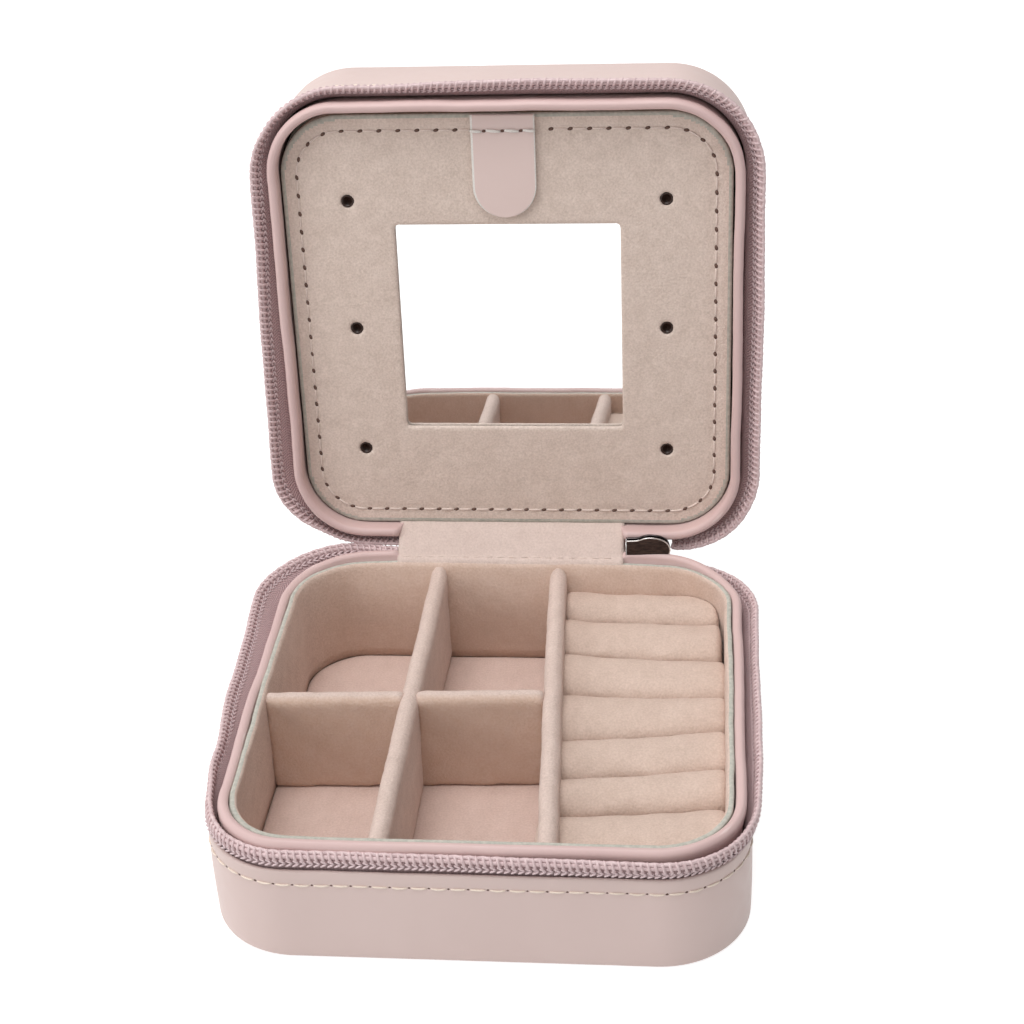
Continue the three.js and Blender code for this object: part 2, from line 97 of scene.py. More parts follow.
_, SHELL_HIGH = drawn_box("tray_shell")
_, LID_HIGH = drawn_box("lid_shell", in_lid=True)
_, COLLAR_HIGH = drawn_box("tray_lip")
_, LINER_HIGH = drawn_box("tray_liner")
_, PAD_HIGH = drawn_box("tray_floor_pad")
LINER_LOW, _ = drawn_box("lid_liner", in_lid=True)
STRIP_LOW, STRIP_HIGH = drawn_box("hinge_strip_tray_half")
PANEL_LOW, PANEL_HIGH = drawn_box("panel_face", in_lid=True)
BACK_LOW, BACK_HIGH = drawn_box("panel_back", in_lid=True)
GLASS_LOW, GLASS_HIGH = drawn_box("mirror_glass", in_lid=True)
TAB_LOW, _ = drawn_box("tab_root", in_lid=True)
_, TAB_HIGH = drawn_box("pull_tab", in_lid=True)
ROLL_LOW, ROLL_HIGH = drawn_box("ring_roll_4")
SLIDER_LOW, SLIDER_HIGH = drawn_box("zip_slider")
PULL_LOW, PULL_HIGH = drawn_box("zip_pull")

HALF = SHELL_HIGH[0]
CORNER = 0.34 * HALF
QUARTER = 2 * (HALF - CORNER) + 0.5 * math.pi * CORNER
CLOSED_HEIGHT = LID_HIGH[2]
WALL_TOP = SHELL_HIGH[2]
WALL_THICKNESS = 0.85
FOOT_RADIUS = 1.2
CELL_HALF = PAD_HIGH[0]

STITCH_HEIGHT = WALL_TOP - 3
STITCH_PITCH = 3.5
COIL_PITCH = 1.25
TAPE_OFFSET = -1.28
TAPE_BOTTOM = 14

PANEL_CENTRE = (PANEL_LOW[1] + PANEL_HIGH[1]) / 2
PANEL_HALF_X = PANEL_HIGH[0]
PANEL_HALF_Y = (PANEL_HIGH[1] - PANEL_LOW[1]) / 2
PANEL_CORNER = CORNER - (HALF - PANEL_HALF_X)
PILE = 0.25
VELVET_FACE = PANEL_LOW[2] - 0.15
SEAM_INSET = 3.1
SEAM_CORNER = PANEL_CORNER - 3.6
GLASS_OVERLAP = 1.2
WINDOW_HALF_X = GLASS_HIGH[0] - GLASS_OVERLAP
WINDOW_HALF_Y = (GLASS_HIGH[1] - GLASS_LOW[1]) / 2 - GLASS_OVERLAP
EARRING_X = 0.7125 * PANEL_HALF_X
EARRING_PITCH = 0.61 * PANEL_HALF_Y
EARRING_RADIUS = 1.3


# ---- smooth curves and soft irregularity ------------------------------------------------------

def eased(value, stations, levels):
    """Levels at the stations, with a smooth step from each to the next."""
    stations = np.asarray(stations, float)
    levels = np.asarray(levels, float)
    step = np.clip(np.searchsorted(stations, value, side="right") - 1, 0, len(stations) - 2)
    share = np.clip((value - stations[step]) / (stations[step + 1] - stations[step]), 0, 1)
    share = share * share * (3 - 2 * share)
    return levels[step] * (1 - share) + levels[step + 1] * share


def smooth_line(points, per_span=6):
    """A Catmull-Rom curve through a few points, whatever their dimension."""
    points = np.asarray(points, float)
    padded = np.vstack([2 * points[0] - points[1], points, 2 * points[-1] - points[-2]])
    share = np.linspace(0, 1, per_span, endpoint=False)[:, None]
    spans = []
    for a, b, c, d in zip(padded, padded[1:], padded[2:], padded[3:]):
        cubic = -a + 3 * b - 3 * c + d
        square = 2 * a - 5 * b + 4 * c - d
        spans.append(0.5 * (2 * b + (c - a) * share + square * share**2 + cubic * share**3))
    return np.vstack(spans + [points[-1:]])


def arc(centre, radius, start, end, steps=8):
    """Points on a circle, from one angle to another in degrees."""
    angle = np.radians(np.linspace(start, end, steps))
    return np.column_stack([centre[0] + radius * np.cos(angle), centre[1] + radius * np.sin(angle)])


def ripple(points, wavelength, seed):
    """Soft noise of about one unit each way: waves in seeded directions, each shorter and weaker."""
    points = np.asarray(points, float)
    source = np.random.default_rng(seed)
    total = np.zeros(points.shape[:-1])
    for octave in range(6):
        direction = source.normal(size=points.shape[-1])
        direction *= 2 * math.pi * 1.6**octave / (wavelength * np.linalg.norm(direction))
        total += np.sin(points @ direction + source.uniform(0, 2 * math.pi)) / 1.5**octave
    return total / 2


class Track:
    """A rounded rectangle, followed by distance from the middle of its rear side, leftwards first."""

    def __init__(self, half_x, half_y, corner, centre_y=0.0):
        angle = np.linspace(0, math.pi / 2, 48)
        points = [(0.0, half_y)]
        normals = [(0.0, 1.0)]
        for quarter, (side_x, side_y) in enumerate(((-1, 1), (-1, -1), (1, -1), (1, 1))):
            turn = math.pi / 2 * (quarter + 1) + angle
            centre = (side_x * (half_x - corner), side_y * (half_y - corner))
            points += list(zip(centre[0] + corner * np.cos(turn), centre[1] + corner * np.sin(turn)))
            normals += list(zip(np.cos(turn), np.sin(turn)))
        self.points = np.array(points + points[:1])
        self.normals = np.array(normals + normals[:1])
        steps = np.linalg.norm(np.diff(self.points, axis=0), axis=1)
        self.marks = np.concatenate([[0], np.cumsum(steps)])
        self.length = self.marks[-1]
        self.points[:, 1] += centre_y

    def at(self, distance):
        """Points and outward normals."""
        distance = np.asarray(distance) % self.length
        columns = [np.interp(distance, self.marks, values) for values in (*self.points.T, *self.normals.T)]
        point = np.stack(columns[:2], axis=-1)
        normal = np.stack(columns[2:], axis=-1)
        return point, normal / np.linalg.norm(normal, axis=-1, keepdims=True)

    def lifted(self, distance, offset, height):
        """Points in space, an offset outwards from the track and a height up."""
        point, normal = self.at(distance)
        offset, height = np.broadcast_arrays(offset, height)
        if offset.ndim == 2:
            point, normal = point[:, None], normal[:, None]
        flat = point + normal * offset[..., None]
        height = np.broadcast_to(height[..., None], flat.shape[:-1] + (1,))
        return np.concatenate([flat, height], axis=-1)


CASE = Track(HALF, HALF, CORNER)


# ---- meshes -----------------------------------------------------------------------------------

class Shape:
    """Points and faces gathered from several parts."""

    def __init__(self):
        self.points = []
        self.faces = []
        self.slots = []
        self.smooth = []
        self.uv = []
        self.count = 0

    def add(self, points, faces, slot=0, smooth=True, uv=None):
        flat = np.asarray(points, float).reshape(-1, 3)
        faces = [[index + self.count for index in face] for face in faces]
        self.points.append(flat)
        self.uv.append(np.zeros((len(flat), 2)) if uv is None else np.asarray(uv).reshape(-1, 2))
        self.faces += faces
        self.slots += list(slot) if np.ndim(slot) else [slot] * len(faces)
        self.smooth += [smooth] * len(faces)
        self.count += len(flat)
        return self.count - len(flat)

    def loft(self, grid, closed=False, open_section=False, slots=None, end_slot=0, uv=None):
        """A skin over rows of section points. Unless closed, its two ends are capped.
        An open section is for a closed loft, and is filled flat at its first and last point."""
        rows, columns = grid.shape[:2]
        row = np.arange(rows if closed else rows - 1)[:, None]
        column = np.arange(columns - 1 if open_section else columns)[None]
        row, column = np.broadcast_arrays(row, column)
        row_after = (row + 1) % rows
        column_after = (column + 1) % columns
        corners = ((row, column), (row_after, column), (row_after, column_after), (row, column_after))
        quads = np.stack([(r * columns + c).ravel() for r, c in corners], axis=1)
        face_slots = 0 if slots is None else np.asarray(slots)[column].ravel().tolist()
        first = self.add(grid, quads.tolist(), face_slots, uv=uv)
        if not closed:
            self.fill([first + c for c in range(columns)], end_slot)
            self.fill([first + (rows - 1) * columns + c for c in range(columns)], end_slot)
        if open_section:
            self.fill([first + r * columns for r in range(rows)], end_slot)
            self.fill([first + r * columns + columns - 1 for r in range(rows)], end_slot)

    def fill(self, indices, slot):
        self.faces.append(indices)
        self.slots.append(slot)
        self.smooth.append(False)

    def tube(self, path, radius, up, sides=6, slot=0):
        """A round bar along a path. up is any direction that the path never follows."""
        path = np.asarray(path, float)
        forward = np.gradient(path, axis=0)
        side = np.cross(forward, np.broadcast_to(up, path.shape))
        side /= np.linalg.norm(side, axis=1, keepdims=True)
        over = np.cross(side, forward)
        over /= np.linalg.norm(over, axis=1, keepdims=True)
        angle = np.linspace(0, 2 * math.pi, sides, endpoint=False)
        radius = np.broadcast_to(radius, len(path))[:, None, None]
        ring = side[:, None] * np.cos(angle)[None, :, None] + over[:, None] * np.sin(angle)[None, :, None]
        self.loft(path[:, None] + radius * ring, slots=[slot] * sides, end_slot=slot)

    def lens(self, centre, normal, along, length, width, height, slot=0):
        """A small flat oval dot, closed like a lens."""
        across = np.cross(normal, along)
        angle = np.linspace(0, 2 * math.pi, 10, endpoint=False)[:, None]
        rim = centre + length / 2 * np.cos(angle) * along + width / 2 * np.sin(angle) * across
        points = np.vstack([rim, centre + height * normal, centre - height * normal])
        faces = [[k, (k + 1) % 10, 10] for k in range(10)] + [[(k + 1) % 10, k, 11] for k in range(10)]
        self.add(points, faces, slot)


def link(name, mesh):
    piece = bpy.data.objects.new(name, mesh)
    bpy.context.scene.collection.objects.link(piece)
    return piece


def face_outwards(mesh):
    work = bmesh.new()
    work.from_mesh(mesh)
    bmesh.ops.recalc_face_normals(work, faces=work.faces)
    work.to_mesh(mesh)
    work.free()


def make_piece(name, shape, materials, place=as_drawn):
    """A Blender object from a shape, put in its place at rest, in metres."""
    mesh = bpy.data.meshes.new(name)
    points = place(np.vstack(shape.points)) * MM
    mesh.from_pydata(points.tolist(), [], shape.faces)
    mesh.polygons.foreach_set("material_index", shape.slots)
    mesh.polygons.foreach_set("use_smooth", shape.smooth)
    for material in materials:
        mesh.materials.append(material)
    uv = np.vstack(shape.uv)
    if uv.any():
        corner_points = np.zeros(len(mesh.loops), int)
        mesh.loops.foreach_get("vertex_index", corner_points)
        mesh.uv_layers.new(name="Fabric").data.foreach_set("uv", uv[corner_points].ravel())
    face_outwards(mesh)
    return link(name, mesh)


def mesh_points(mesh):
    points = np.zeros(len(mesh.vertices) * 3)
    mesh.vertices.foreach_get("co", points)
    return points.reshape(-1, 3) / MM


def set_mesh_points(mesh, points):
    mesh.vertices.foreach_set("co", (points * MM).ravel())
    mesh.update()


def applied(piece):
    """Replaces an object's mesh by the one its modifiers make, and drops them."""
    graph = bpy.context.evaluated_depsgraph_get()
    mesh = bpy.data.meshes.new_from_object(piece.evaluated_get(graph), depsgraph=graph)
    piece.modifiers.clear()
    piece.data = mesh
    mesh.polygons.foreach_set("use_smooth", [True] * len(mesh.polygons))
    return piece


def remeshed(piece, voxel, smoothing=2):
    """The same solid in an even skin of small faces, its edges softened."""
    remesh = piece.modifiers.new("Remesh", "REMESH")
    remesh.mode = "VOXEL"
    remesh.voxel_size = voxel * MM
    if smoothing:
        smooth = piece.modifiers.new("Smooth", "SMOOTH")
        smooth.factor = 0.5
        smooth.iterations = smoothing
    return applied(piece)


def coated(piece, *materials):
    """Gives the piece these materials alone."""
    piece.data.materials.clear()
    for material in materials:
        piece.data.materials.append(material)


def plate_part(outlines, bottom, top, bevel):
    """Points and faces of a flat plate with rounded edges. The first outline is its rim, and the
    others are holes."""
    curve = bpy.data.curves.new("plate", "CURVE")
    curve.dimensions = "2D"
    curve.fill_mode = "BOTH"
    curve.extrude = ((top - bottom) / 2 - bevel) * MM
    curve.bevel_depth = bevel * MM
    curve.bevel_resolution = 3
    curve.offset = -bevel * MM
    for outline in outlines:
        spline = curve.splines.new("POLY")
        spline.points.add(len(outline) - 1)
        for point, (x, y) in zip(spline.points, outline):
            point.co = (x * MM, y * MM, 0, 1)
        spline.use_cyclic_u = True
    holder = link("plate", curve)
    graph = bpy.context.evaluated_depsgraph_get()
    mesh = bpy.data.meshes.new_from_object(holder.evaluated_get(graph), depsgraph=graph)
    work = bmesh.new()
    work.from_mesh(mesh)
    bmesh.ops.remove_doubles(work, verts=work.verts, dist=1e-7)
    points = np.array([vertex.co for vertex in work.verts]) / MM + (0, 0, (top + bottom) / 2)
    faces = [[vertex.index for vertex in face.verts] for face in work.faces]
    work.free()
    bpy.data.objects.remove(holder)
    return points, faces


def ride(piece, body, slot, *nodes):
    """The piece moves with a body and stands for the named CAD nodes. Its slot is not used."""
    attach(piece, body)
    finish(piece, slot, *nodes)


def finish(piece, slot, *nodes):
    if nodes:
        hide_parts(*nodes)


# ---- materials --------------------------------------------------------------------------------

class Finish:
    """A Principled material, with helpers for the node patterns that drive it."""

    def __init__(self, name, roughness, specular=0.5, sheen=0.0, metallic=0.0):
        self.material = bpy.data.materials.new(name)
        self.material.use_nodes = True
        self.tree = self.material.node_tree
        self.shader = self.tree.nodes["Principled BSDF"]
        self.shader.inputs["Roughness"].default_value = roughness
        self.shader.inputs["Specular IOR Level"].default_value = specular
        self.shader.inputs["Sheen Weight"].default_value = sheen
        self.shader.inputs["Metallic"].default_value = metallic
        self.place = self.tree.nodes.new("ShaderNodeTexCoord").outputs["Object"]
        self.bump = None

    def node(self, kind, inputs=(), **settings):
        node = self.tree.nodes.new(kind)
        for key, value in settings.items():
            setattr(node, key, value)
        for key, value in dict(inputs).items():
            if isinstance(value, bpy.types.NodeSocket):
                self.tree.links.new(value, node.inputs[key])
            else:
                node.inputs[key].default_value = value
        return node

    def noise(self, size, detail=3, stretch=(1, 1, 1)):
        """Noise whose blotches are about size millimetres across."""
        place = self.node("ShaderNodeMapping", {"Vector": self.place, "Scale": stretch}).outputs[0]
        inputs = {"Vector": place, "Scale": 1 / (size * MM), "Detail": detail}
        return self.node("ShaderNodeTexNoise", inputs).outputs["Fac"]

    def cells(self, size):
        """Rounded cells, for grain."""
        inputs = {"Vector": self.place, "Scale": 1 / (size * MM)}
        return self.node("ShaderNodeTexVoronoi", inputs, feature="SMOOTH_F1").outputs["Distance"]

    def math(self, operation, a, b=0.0):
        return self.node("ShaderNodeMath", {0: a, 1: b}, operation=operation).outputs[0]

    def scaled(self, value, low, high, start=0.3, end=0.7):
        inputs = {"Value": value, "From Min": start, "From Max": end, "To Min": low, "To Max": high}
        return self.node("ShaderNodeMapRange", inputs).outputs[0]

    def mixed(self, factor, first, second):
        node = self.node("ShaderNodeMix", data_type="RGBA")
        for socket, value in zip([node.inputs[0], node.inputs[6], node.inputs[7]], (factor, first, second)):
            if isinstance(value, bpy.types.NodeSocket):
                self.tree.links.new(value, socket)
            else:
                socket.default_value = value
        return node.outputs[2]

    def colour(self, socket):
        self.tree.links.new(socket, self.shader.inputs["Base Color"])

    def roughness(self, socket):
        self.tree.links.new(socket, self.shader.inputs["Roughness"])

    def relief(self, height, depth, strength=1.0):
        """Adds a bump, depth millimetres deep, on top of the ones before it."""
        inputs = {"Height": height, "Distance": depth * MM, "Strength": strength}
        if self.bump is not None:
            inputs["Normal"] = self.bump
        self.bump = self.node("ShaderNodeBump", inputs).outputs[0]
        self.tree.links.new(self.bump, self.shader.inputs["Normal"])


def tone(red, green, blue):
    """An sRGB colour of 0 to 255 as linear RGBA."""
    return tuple(((value / 255 + 0.055) / 1.055) ** 2.4 for value in (red, green, blue)) + (1.0,)


def leather_finish(name, light, dark):
    made = Finish(name, 0.5, specular=0.42, sheen=0.05)
    cloud = made.scaled(made.noise(26, 5), 0.25, 0.75)
    colour = made.mixed(cloud, light, dark)
    # Paler colour on sharply convex ridges.
    ridge = made.node("ShaderNodeNewGeometry").outputs["Pointiness"]
    convex_paling = made.scaled(ridge, 0, 0.3, 0.52, 0.62)
    made.colour(made.mixed(convex_paling, colour, tone(240, 225, 220)))
    made.roughness(made.scaled(made.noise(3, 3), 0.42, 0.56))
    made.relief(made.noise(7, 2), 0.05, 0.25)
    made.relief(made.cells(0.55), 0.03, 0.3)
    made.relief(made.noise(0.18, 2), 0.01, 0.4)
    return made.material


def velvet_finish(name, light, dark, upright=None):
    """Short pile: fine speckled nap over faint brushed patches. Upright faces that look forwards or back may
    have their own darker tone, painted shade for the weaker light and sheen there."""
    made = Finish(name, 0.92, specular=0.1, sheen=0.25)
    made.shader.inputs["Sheen Roughness"].default_value = 0.45
    made.shader.inputs["Sheen Tint"].default_value = tone(255, 240, 232)
    brushed = made.scaled(made.noise(3.0, 5, (1, 0.6, 1)), 0, 1, 0.3, 0.7)
    fibre = made.scaled(made.noise(0.42, 4), 0, 1, 0.32, 0.68)
    pile = made.mixed(0.66, brushed, fibre)
    colour = made.mixed(pile, dark, light)
    if upright:
        # Painted shade: faces looking forwards or back are mixed towards the darker upright tone.
        normal = made.node("ShaderNodeNewGeometry").outputs["Normal"]
        facing = made.node("ShaderNodeSeparateXYZ", {0: normal})
        front_back_shade = made.scaled(made.math("ABSOLUTE", facing.outputs["Y"]), 0, 0.75, 0.3, 0.85)
        colour = made.mixed(front_back_shade, colour, made.mixed(made.scaled(pile, 0, 0.5, 0, 1), upright, light))
    made.colour(colour)
    made.roughness(made.scaled(fibre, 0.85, 1.0, 0, 1))
    made.relief(brushed, 0.08, 0.3)
    made.relief(made.noise(0.5, 3), 0.18, 0.8)
    made.relief(made.noise(0.2, 3), 0.07, 0.8)
    return made.material


def cut_edge_finish():
    """The raw edge of the velvet's pale grey-green backing."""
    made = Finish("cut_edge", 0.9, specular=0.15)
    made.colour(made.mixed(made.scaled(made.noise(0.8, 4), 0, 1), tone(172, 172, 162), tone(198, 194, 184)))
    made.relief(made.noise(0.25, 4), 0.08, 0.8)
    return made.material


def tape_finish():
    """Herringbone twill, woven along and across the tape."""
    made = Finish("zip_tape_twill", 0.8, specular=0.2, sheen=0.15)
    uv = made.node("ShaderNodeUVMap", uv_map="Fabric").outputs[0]
    split = made.node("ShaderNodeSeparateXYZ", {0: uv})
    zigzag = made.math("PINGPONG", split.outputs["Y"], 0.9)
    phase = made.math("ADD", split.outputs["X"], zigzag)
    rib = made.math("SINE", made.math("MULTIPLY", phase, 2 * math.pi / 0.62))
    thread = made.math("SINE", made.math("MULTIPLY", split.outputs["Y"], 2 * math.pi / 0.3))
    weave = made.math("ADD", rib, made.math("MULTIPLY", thread, 0.35))
    shade = made.scaled(weave, 0, 1, -1.2, 1.2)
    soft = made.mixed(made.noise(1.2, 3), tone(196, 168, 169), tone(210, 184, 184))
    made.colour(made.mixed(shade, tone(164, 135, 137), soft))
    made.relief(shade, 0.12, 0.9)
    return made.material


def coil_finish():
    made = Finish("zip_nylon", 0.38, specular=0.5)
    made.colour(made.mixed(made.scaled(made.noise(0.9, 3), 0, 1), tone(198, 172, 173), tone(222, 198, 198)))
    made.roughness(made.scaled(made.noise(0.5, 2), 0.32, 0.5))
    made.relief(made.noise(0.15, 2), 0.02, 0.5)
    return made.material


def thread_finish(name, light, dark):
    """Twisted sewing thread."""
    made = Finish(name, 0.65, specular=0.25, sheen=0.2)
    twist = made.scaled(made.noise(0.16, 2, (1, 2, 1)), 0, 1)
    made.colour(made.mixed(twist, dark, light))
    made.relief(twist, 0.05, 0.7)
    return made.material


def hole_finish(name, dark, light, roughness):
    """Dark, mottled colour for the inside of a hole: painted shade."""
    made = Finish(name, roughness, specular=0.3)
    made.colour(made.mixed(made.noise(0.2, 2), dark, light))
    made.relief(made.noise(0.12, 2), 0.02, 0.5)
    return made.material


def board_finish():
    made = Finish("fibreboard", 0.9, specular=0.2)
    fibre = made.scaled(made.noise(0.7, 5, (1, 5, 1)), 0, 1)
    made.colour(made.mixed(fibre, tone(150, 132, 108), tone(186, 168, 142)))
    made.relief(fibre, 0.06, 0.6)
    return made.material


def mirror_finish():
    made = Finish("silvered_glass", 0.02, metallic=1.0)
    made.colour(made.mixed(made.noise(30, 2), tone(244, 246, 247), tone(249, 251, 251)))
    made.roughness(made.scaled(made.noise(12, 3), 0.008, 0.03))
    return made.material


def metal_finish(name, dark, light):
    """Polished metal with fine rubbing marks along it."""
    made = Finish(name, 0.22, metallic=1.0)
    scratch = made.scaled(made.noise(0.25, 4, (0.2, 1, 1)), 0, 1)
    made.colour(made.mixed(scratch, dark, light))
    made.roughness(made.scaled(scratch, 0.1, 0.26, 0, 1))
    made.relief(scratch, 0.008, 0.4)
    return made.material


LEATHER = leather_finish("wrap_leather", tone(221, 199, 193), tone(214, 191, 185))
COLLAR_LEATHER = leather_finish("collar_leather", tone(214, 186, 182), tone(204, 174, 171))
# VELVET's third tone is painted shade for upright faces looking forwards or back.
VELVET = velvet_finish("velvet", tone(222, 201, 189), tone(194, 171, 158), tone(200, 170, 151))
PANEL_VELVET = velvet_finish("panel_velvet", tone(228, 210, 199), tone(200, 181, 169))
# Lighter than the wall velvet: painted light on the up-facing cell floors. Its pinker tone is the floor's
# own.
LIT_FLOOR_VELVET = velvet_finish("floor_velvet", tone(224, 200, 190), tone(204, 178, 167))
# LIGHT_VELVET's third tone is painted shade for upright faces looking forwards or back.
LIGHT_VELVET = velvet_finish("divider_velvet", tone(219, 199, 189), tone(194, 173, 163), tone(206, 174, 151))
# Lighter than the wall velvet: painted light on the strip, which faces up towards the lamps.
LIT_STRIP_VELVET = velvet_finish("strip_velvet", tone(222, 203, 194), tone(204, 184, 175))
ROLL_VELVET = velvet_finish("roll_velvet", tone(216, 194, 181), tone(194, 171, 157))
CUT_EDGE = cut_edge_finish()
TWILL = tape_finish()
NYLON = coil_finish()
CREAM_THREAD = thread_finish("cream_thread", tone(252, 238, 224), tone(238, 220, 204))
PALE_THREAD = thread_finish("pale_thread", tone(232, 215, 205), tone(214, 196, 186))
GREY_THREAD = thread_finish("grey_thread", tone(240, 236, 230), tone(214, 208, 202))
ZIP_THREAD = thread_finish("zip_thread", tone(228, 206, 207), tone(204, 181, 183))
# Painted shade for the needle holes.
NEEDLE_HOLE_SHADE = hole_finish("needle_hole_shade", tone(84, 62, 54), tone(122, 98, 88), 0.9)
# Painted shade for the dark insides of the earring holes.
EARRING_HOLE_SHADE = hole_finish("earring_hole_shade", tone(40, 26, 22), tone(66, 46, 38), 0.3)
BOARD = board_finish()
MIRROR = mirror_finish()
GUNMETAL = metal_finish("gunmetal", tone(58, 53, 54), tone(88, 81, 80))
# Pale metal for the slider's rim: a painted highlight along the plate's edge.
PAINTED_HIGHLIGHT_METAL = metal_finish("painted_highlight_edge", tone(206, 204, 204), tone(236, 234, 232))


# ---- the two half cases -----------------------------------------------------------------------

# Each Round table gives quarters of the way round the case (from the rear middle, leftwards) and the
# values there. lean: how far the collar and lining lean out, most where the hinge strip pulls them.
# flare: how far the zip's coil stands out from the wall. rise: how far the coil is pulled up.
# notch: how high the collar stands under the strip. lift: how much higher it stands beside the strip.
# splay: how many degrees the tape leans for each millimetre of flare. zip_end: the x of the zip's end
# by the slider: inside it on the tray, just clear of it on the lid.
Half = namedtuple("Half", "name place lining_top zip_end notch lift splay lean flare rise")
Round = namedtuple("Round", "quarters values")
REAR_LEAN = 3.4


def in_lid(points):
    """A drawing of the tray's half, turned over onto the closed lid, then opened."""
    return opened(points * (1, 1, -1) + (0, 0, CLOSED_HEIGHT))


TRAY = Half(
    name="tray", place=as_drawn, lining_top=LINER_HIGH[2], zip_end=SLIDER_HIGH[0] - 3.5,
    notch=STRIP_LOW[2] - 0.4, lift=1.5, splay=24,
    lean=Round((0.0, 0.25, 0.48, 0.66, 1.0, 1.4, 1.75, 2.4, 2.7, 3.1, 3.45, 3.75, 4.0),
               (REAR_LEAN, 3.2, 2.0, 1.2, 0.6, -0.7, 0.0, 0.0, 0.6, 0.6, 0.5, 3.2, REAR_LEAN)),
    flare=Round((0.28, 0.42, 0.6, 1.0, 1.22, 1.42, 1.7, 2.0, 2.5, 2.8, 3.4, 3.74),
                (1.6, 3.2, 4.3, 2.7, 1.1, -0.8, -1.0, -0.7, 0.1, 1.3, 1.3, 0.6)),
    rise=Round((0.28, 0.42, 0.6, 0.8, 3.5, 3.74), (2.5, 2.6, 1.1, 0.0, 0.0, 0.8)))
LID = Half(
    name="lid", place=in_lid, lining_top=CLOSED_HEIGHT - LINER_LOW[2], zip_end=SLIDER_HIGH[0] + 0.2,
    notch=STRIP_LOW[2] - 3.6, lift=0, splay=38,
    lean=Round((0.0, 4.0), (0.0, 0.0)),
    flare=Round((0.28, 0.45, 0.62, 1.0, 1.3, 1.5, 1.7, 2.0, 2.5, 3.0, 3.5, 3.74),
                (0.2, 0.2, 2.6, 2.0, 1.2, 0.5, 0.9, 1.6, 1.4, 1.8, 1.4, -0.4)),
    rise=Round((0.0, 4.0), (0.0, 0.0)))

ROUND = np.arange(0, CASE.length, 1.15)


def under_strip(point):
    """1 where a point of the outline lies under the velvet strip, 0 elsewhere."""
    left = np.clip((point[..., 0] - STRIP_LOW[0] - 0.2) / 0.8, 0, 1)
    right = np.clip((STRIP_HIGH[0] - 0.2 - point[..., 0]) / 0.8, 0, 1)
    return left * right * (point[..., 1] > HALF - CORNER)


def rim_shift(half, distance, height):
    """How far the collar and the lining stand outwards at a height."""
    lean = eased(distance / QUARTER, *half.lean)
    return lean[:, None] * np.clip(height / COLLAR_HIGH[2], 0, 1) ** 4


def beside_strip(distance):
    """1 along the rear side, falling to 0 round its corners."""
    return eased(distance / QUARTER, (0, 0.34, 0.6, 3.4, 3.66, 4), (1, 1, 0, 0, 1, 1))


def half_piece(half, name, shape, materials, slot, *nodes):
    """Adds a piece that rides on one half, and stands for that half's CAD nodes of these names."""
    piece = make_piece(f"{half.name}_{name}", shape, materials, half.place)
    ride(piece, half.name, slot, *(f"{half.name}_{node}" for node in nodes))


def wall_skin(distance, height):
    """The wrap's unevenness: how far it stands out from a plain wall, [distance, height]."""
    distance, height = np.asarray(distance)[:, None], np.atleast_2d(height)
    rise = np.clip(height / WALL_TOP, 0, 1)
    point, _ = CASE.at(distance[:, 0])
    crown = 0.15 * np.sin(math.pi * rise)
    channel = 0.14 * np.exp(-((height - STITCH_HEIGHT) / 0.7) ** 2)
    sway = 0.12 * ripple(point, 60, 3)[:, None] * rise**2
    dents = 0.02 * ripple(CASE.lifted(distance[:, 0], 0 * height, height), 16, 4)
    return crown - channel + sway + dents


def leather_wrap(half):
    """The outer skin: crisp foot, faintly crowned wall with a sewn channel, rolled top edge."""
    roll = WALL_THICKNESS / 2
    profile = np.vstack([
        arc((-FOOT_RADIUS, FOOT_RADIUS), FOOT_RADIUS, -90, 0),
        [(0.0, height) for height in np.linspace(FOOT_RADIUS, WALL_TOP - roll, 34)[1:-1]],
        arc((-roll, WALL_TOP - roll), roll, 0, 180, 9),
        [(-WALL_THICKNESS, FOOT_RADIUS + 0.4), (-FOOT_RADIUS - 0.4, 0.9)],
    ])
    offset, height = profile.T[:, None]
    outside = offset > -roll - 1e-6
    point, _ = CASE.at(ROUND)
    lift = 0.1 * ripple(point, 34, 5)[:, None] * (height > STITCH_HEIGHT)
    grid = CASE.lifted(ROUND, offset + wall_skin(ROUND, height) * outside, height + lift)
    shape = Shape()
    shape.loft(grid, closed=True, open_section=True)
    half_piece(half, "wrap", shape, [LEATHER], "leather", "shell")


def wall_stitching(half):
    """A row of slightly sagging stitches between needle holes, all the way round the wall."""
    source = np.random.default_rng(11 if half is TRAY else 12)
    count = round(CASE.length / STITCH_PITCH)
    pitch = CASE.length / count
    threads = Shape()
    holes = Shape()
    share = np.linspace(0, 1, 7)
    belly = np.sin(math.pi * share)
    for number in range(count):
        start = number * pitch
        distance = start + pitch * (0.12 + 0.76 * share)
        height = STITCH_HEIGHT - source.uniform(0.0, 0.16) * belly
        skin = np.diagonal(wall_skin(distance, height))
        path = CASE.lifted(distance, skin + 0.05 + 0.1 * belly, height)
        threads.tube(path, 0.2 * (0.7 + 0.3 * belly), (0, 0, 1))
        point, normal = CASE.at(np.array([start]))
        out = np.array([*normal[0], 0])
        skin = wall_skin([start], STITCH_HEIGHT)[0, 0]
        centre = np.array([*(point[0] + normal[0] * (skin + 0.01)), STITCH_HEIGHT])
        # A dark dot at the needle hole: painted shade.
        holes.lens(centre, out, np.array([-out[1], out[0], 0]), 0.6, 0.5, 0.05)
    half_piece(half, "stitches", threads, [CREAM_THREAD], "leather")
    half_piece(half, "needle_holes", holes, [NEEDLE_HOLE_SHADE], "leather")


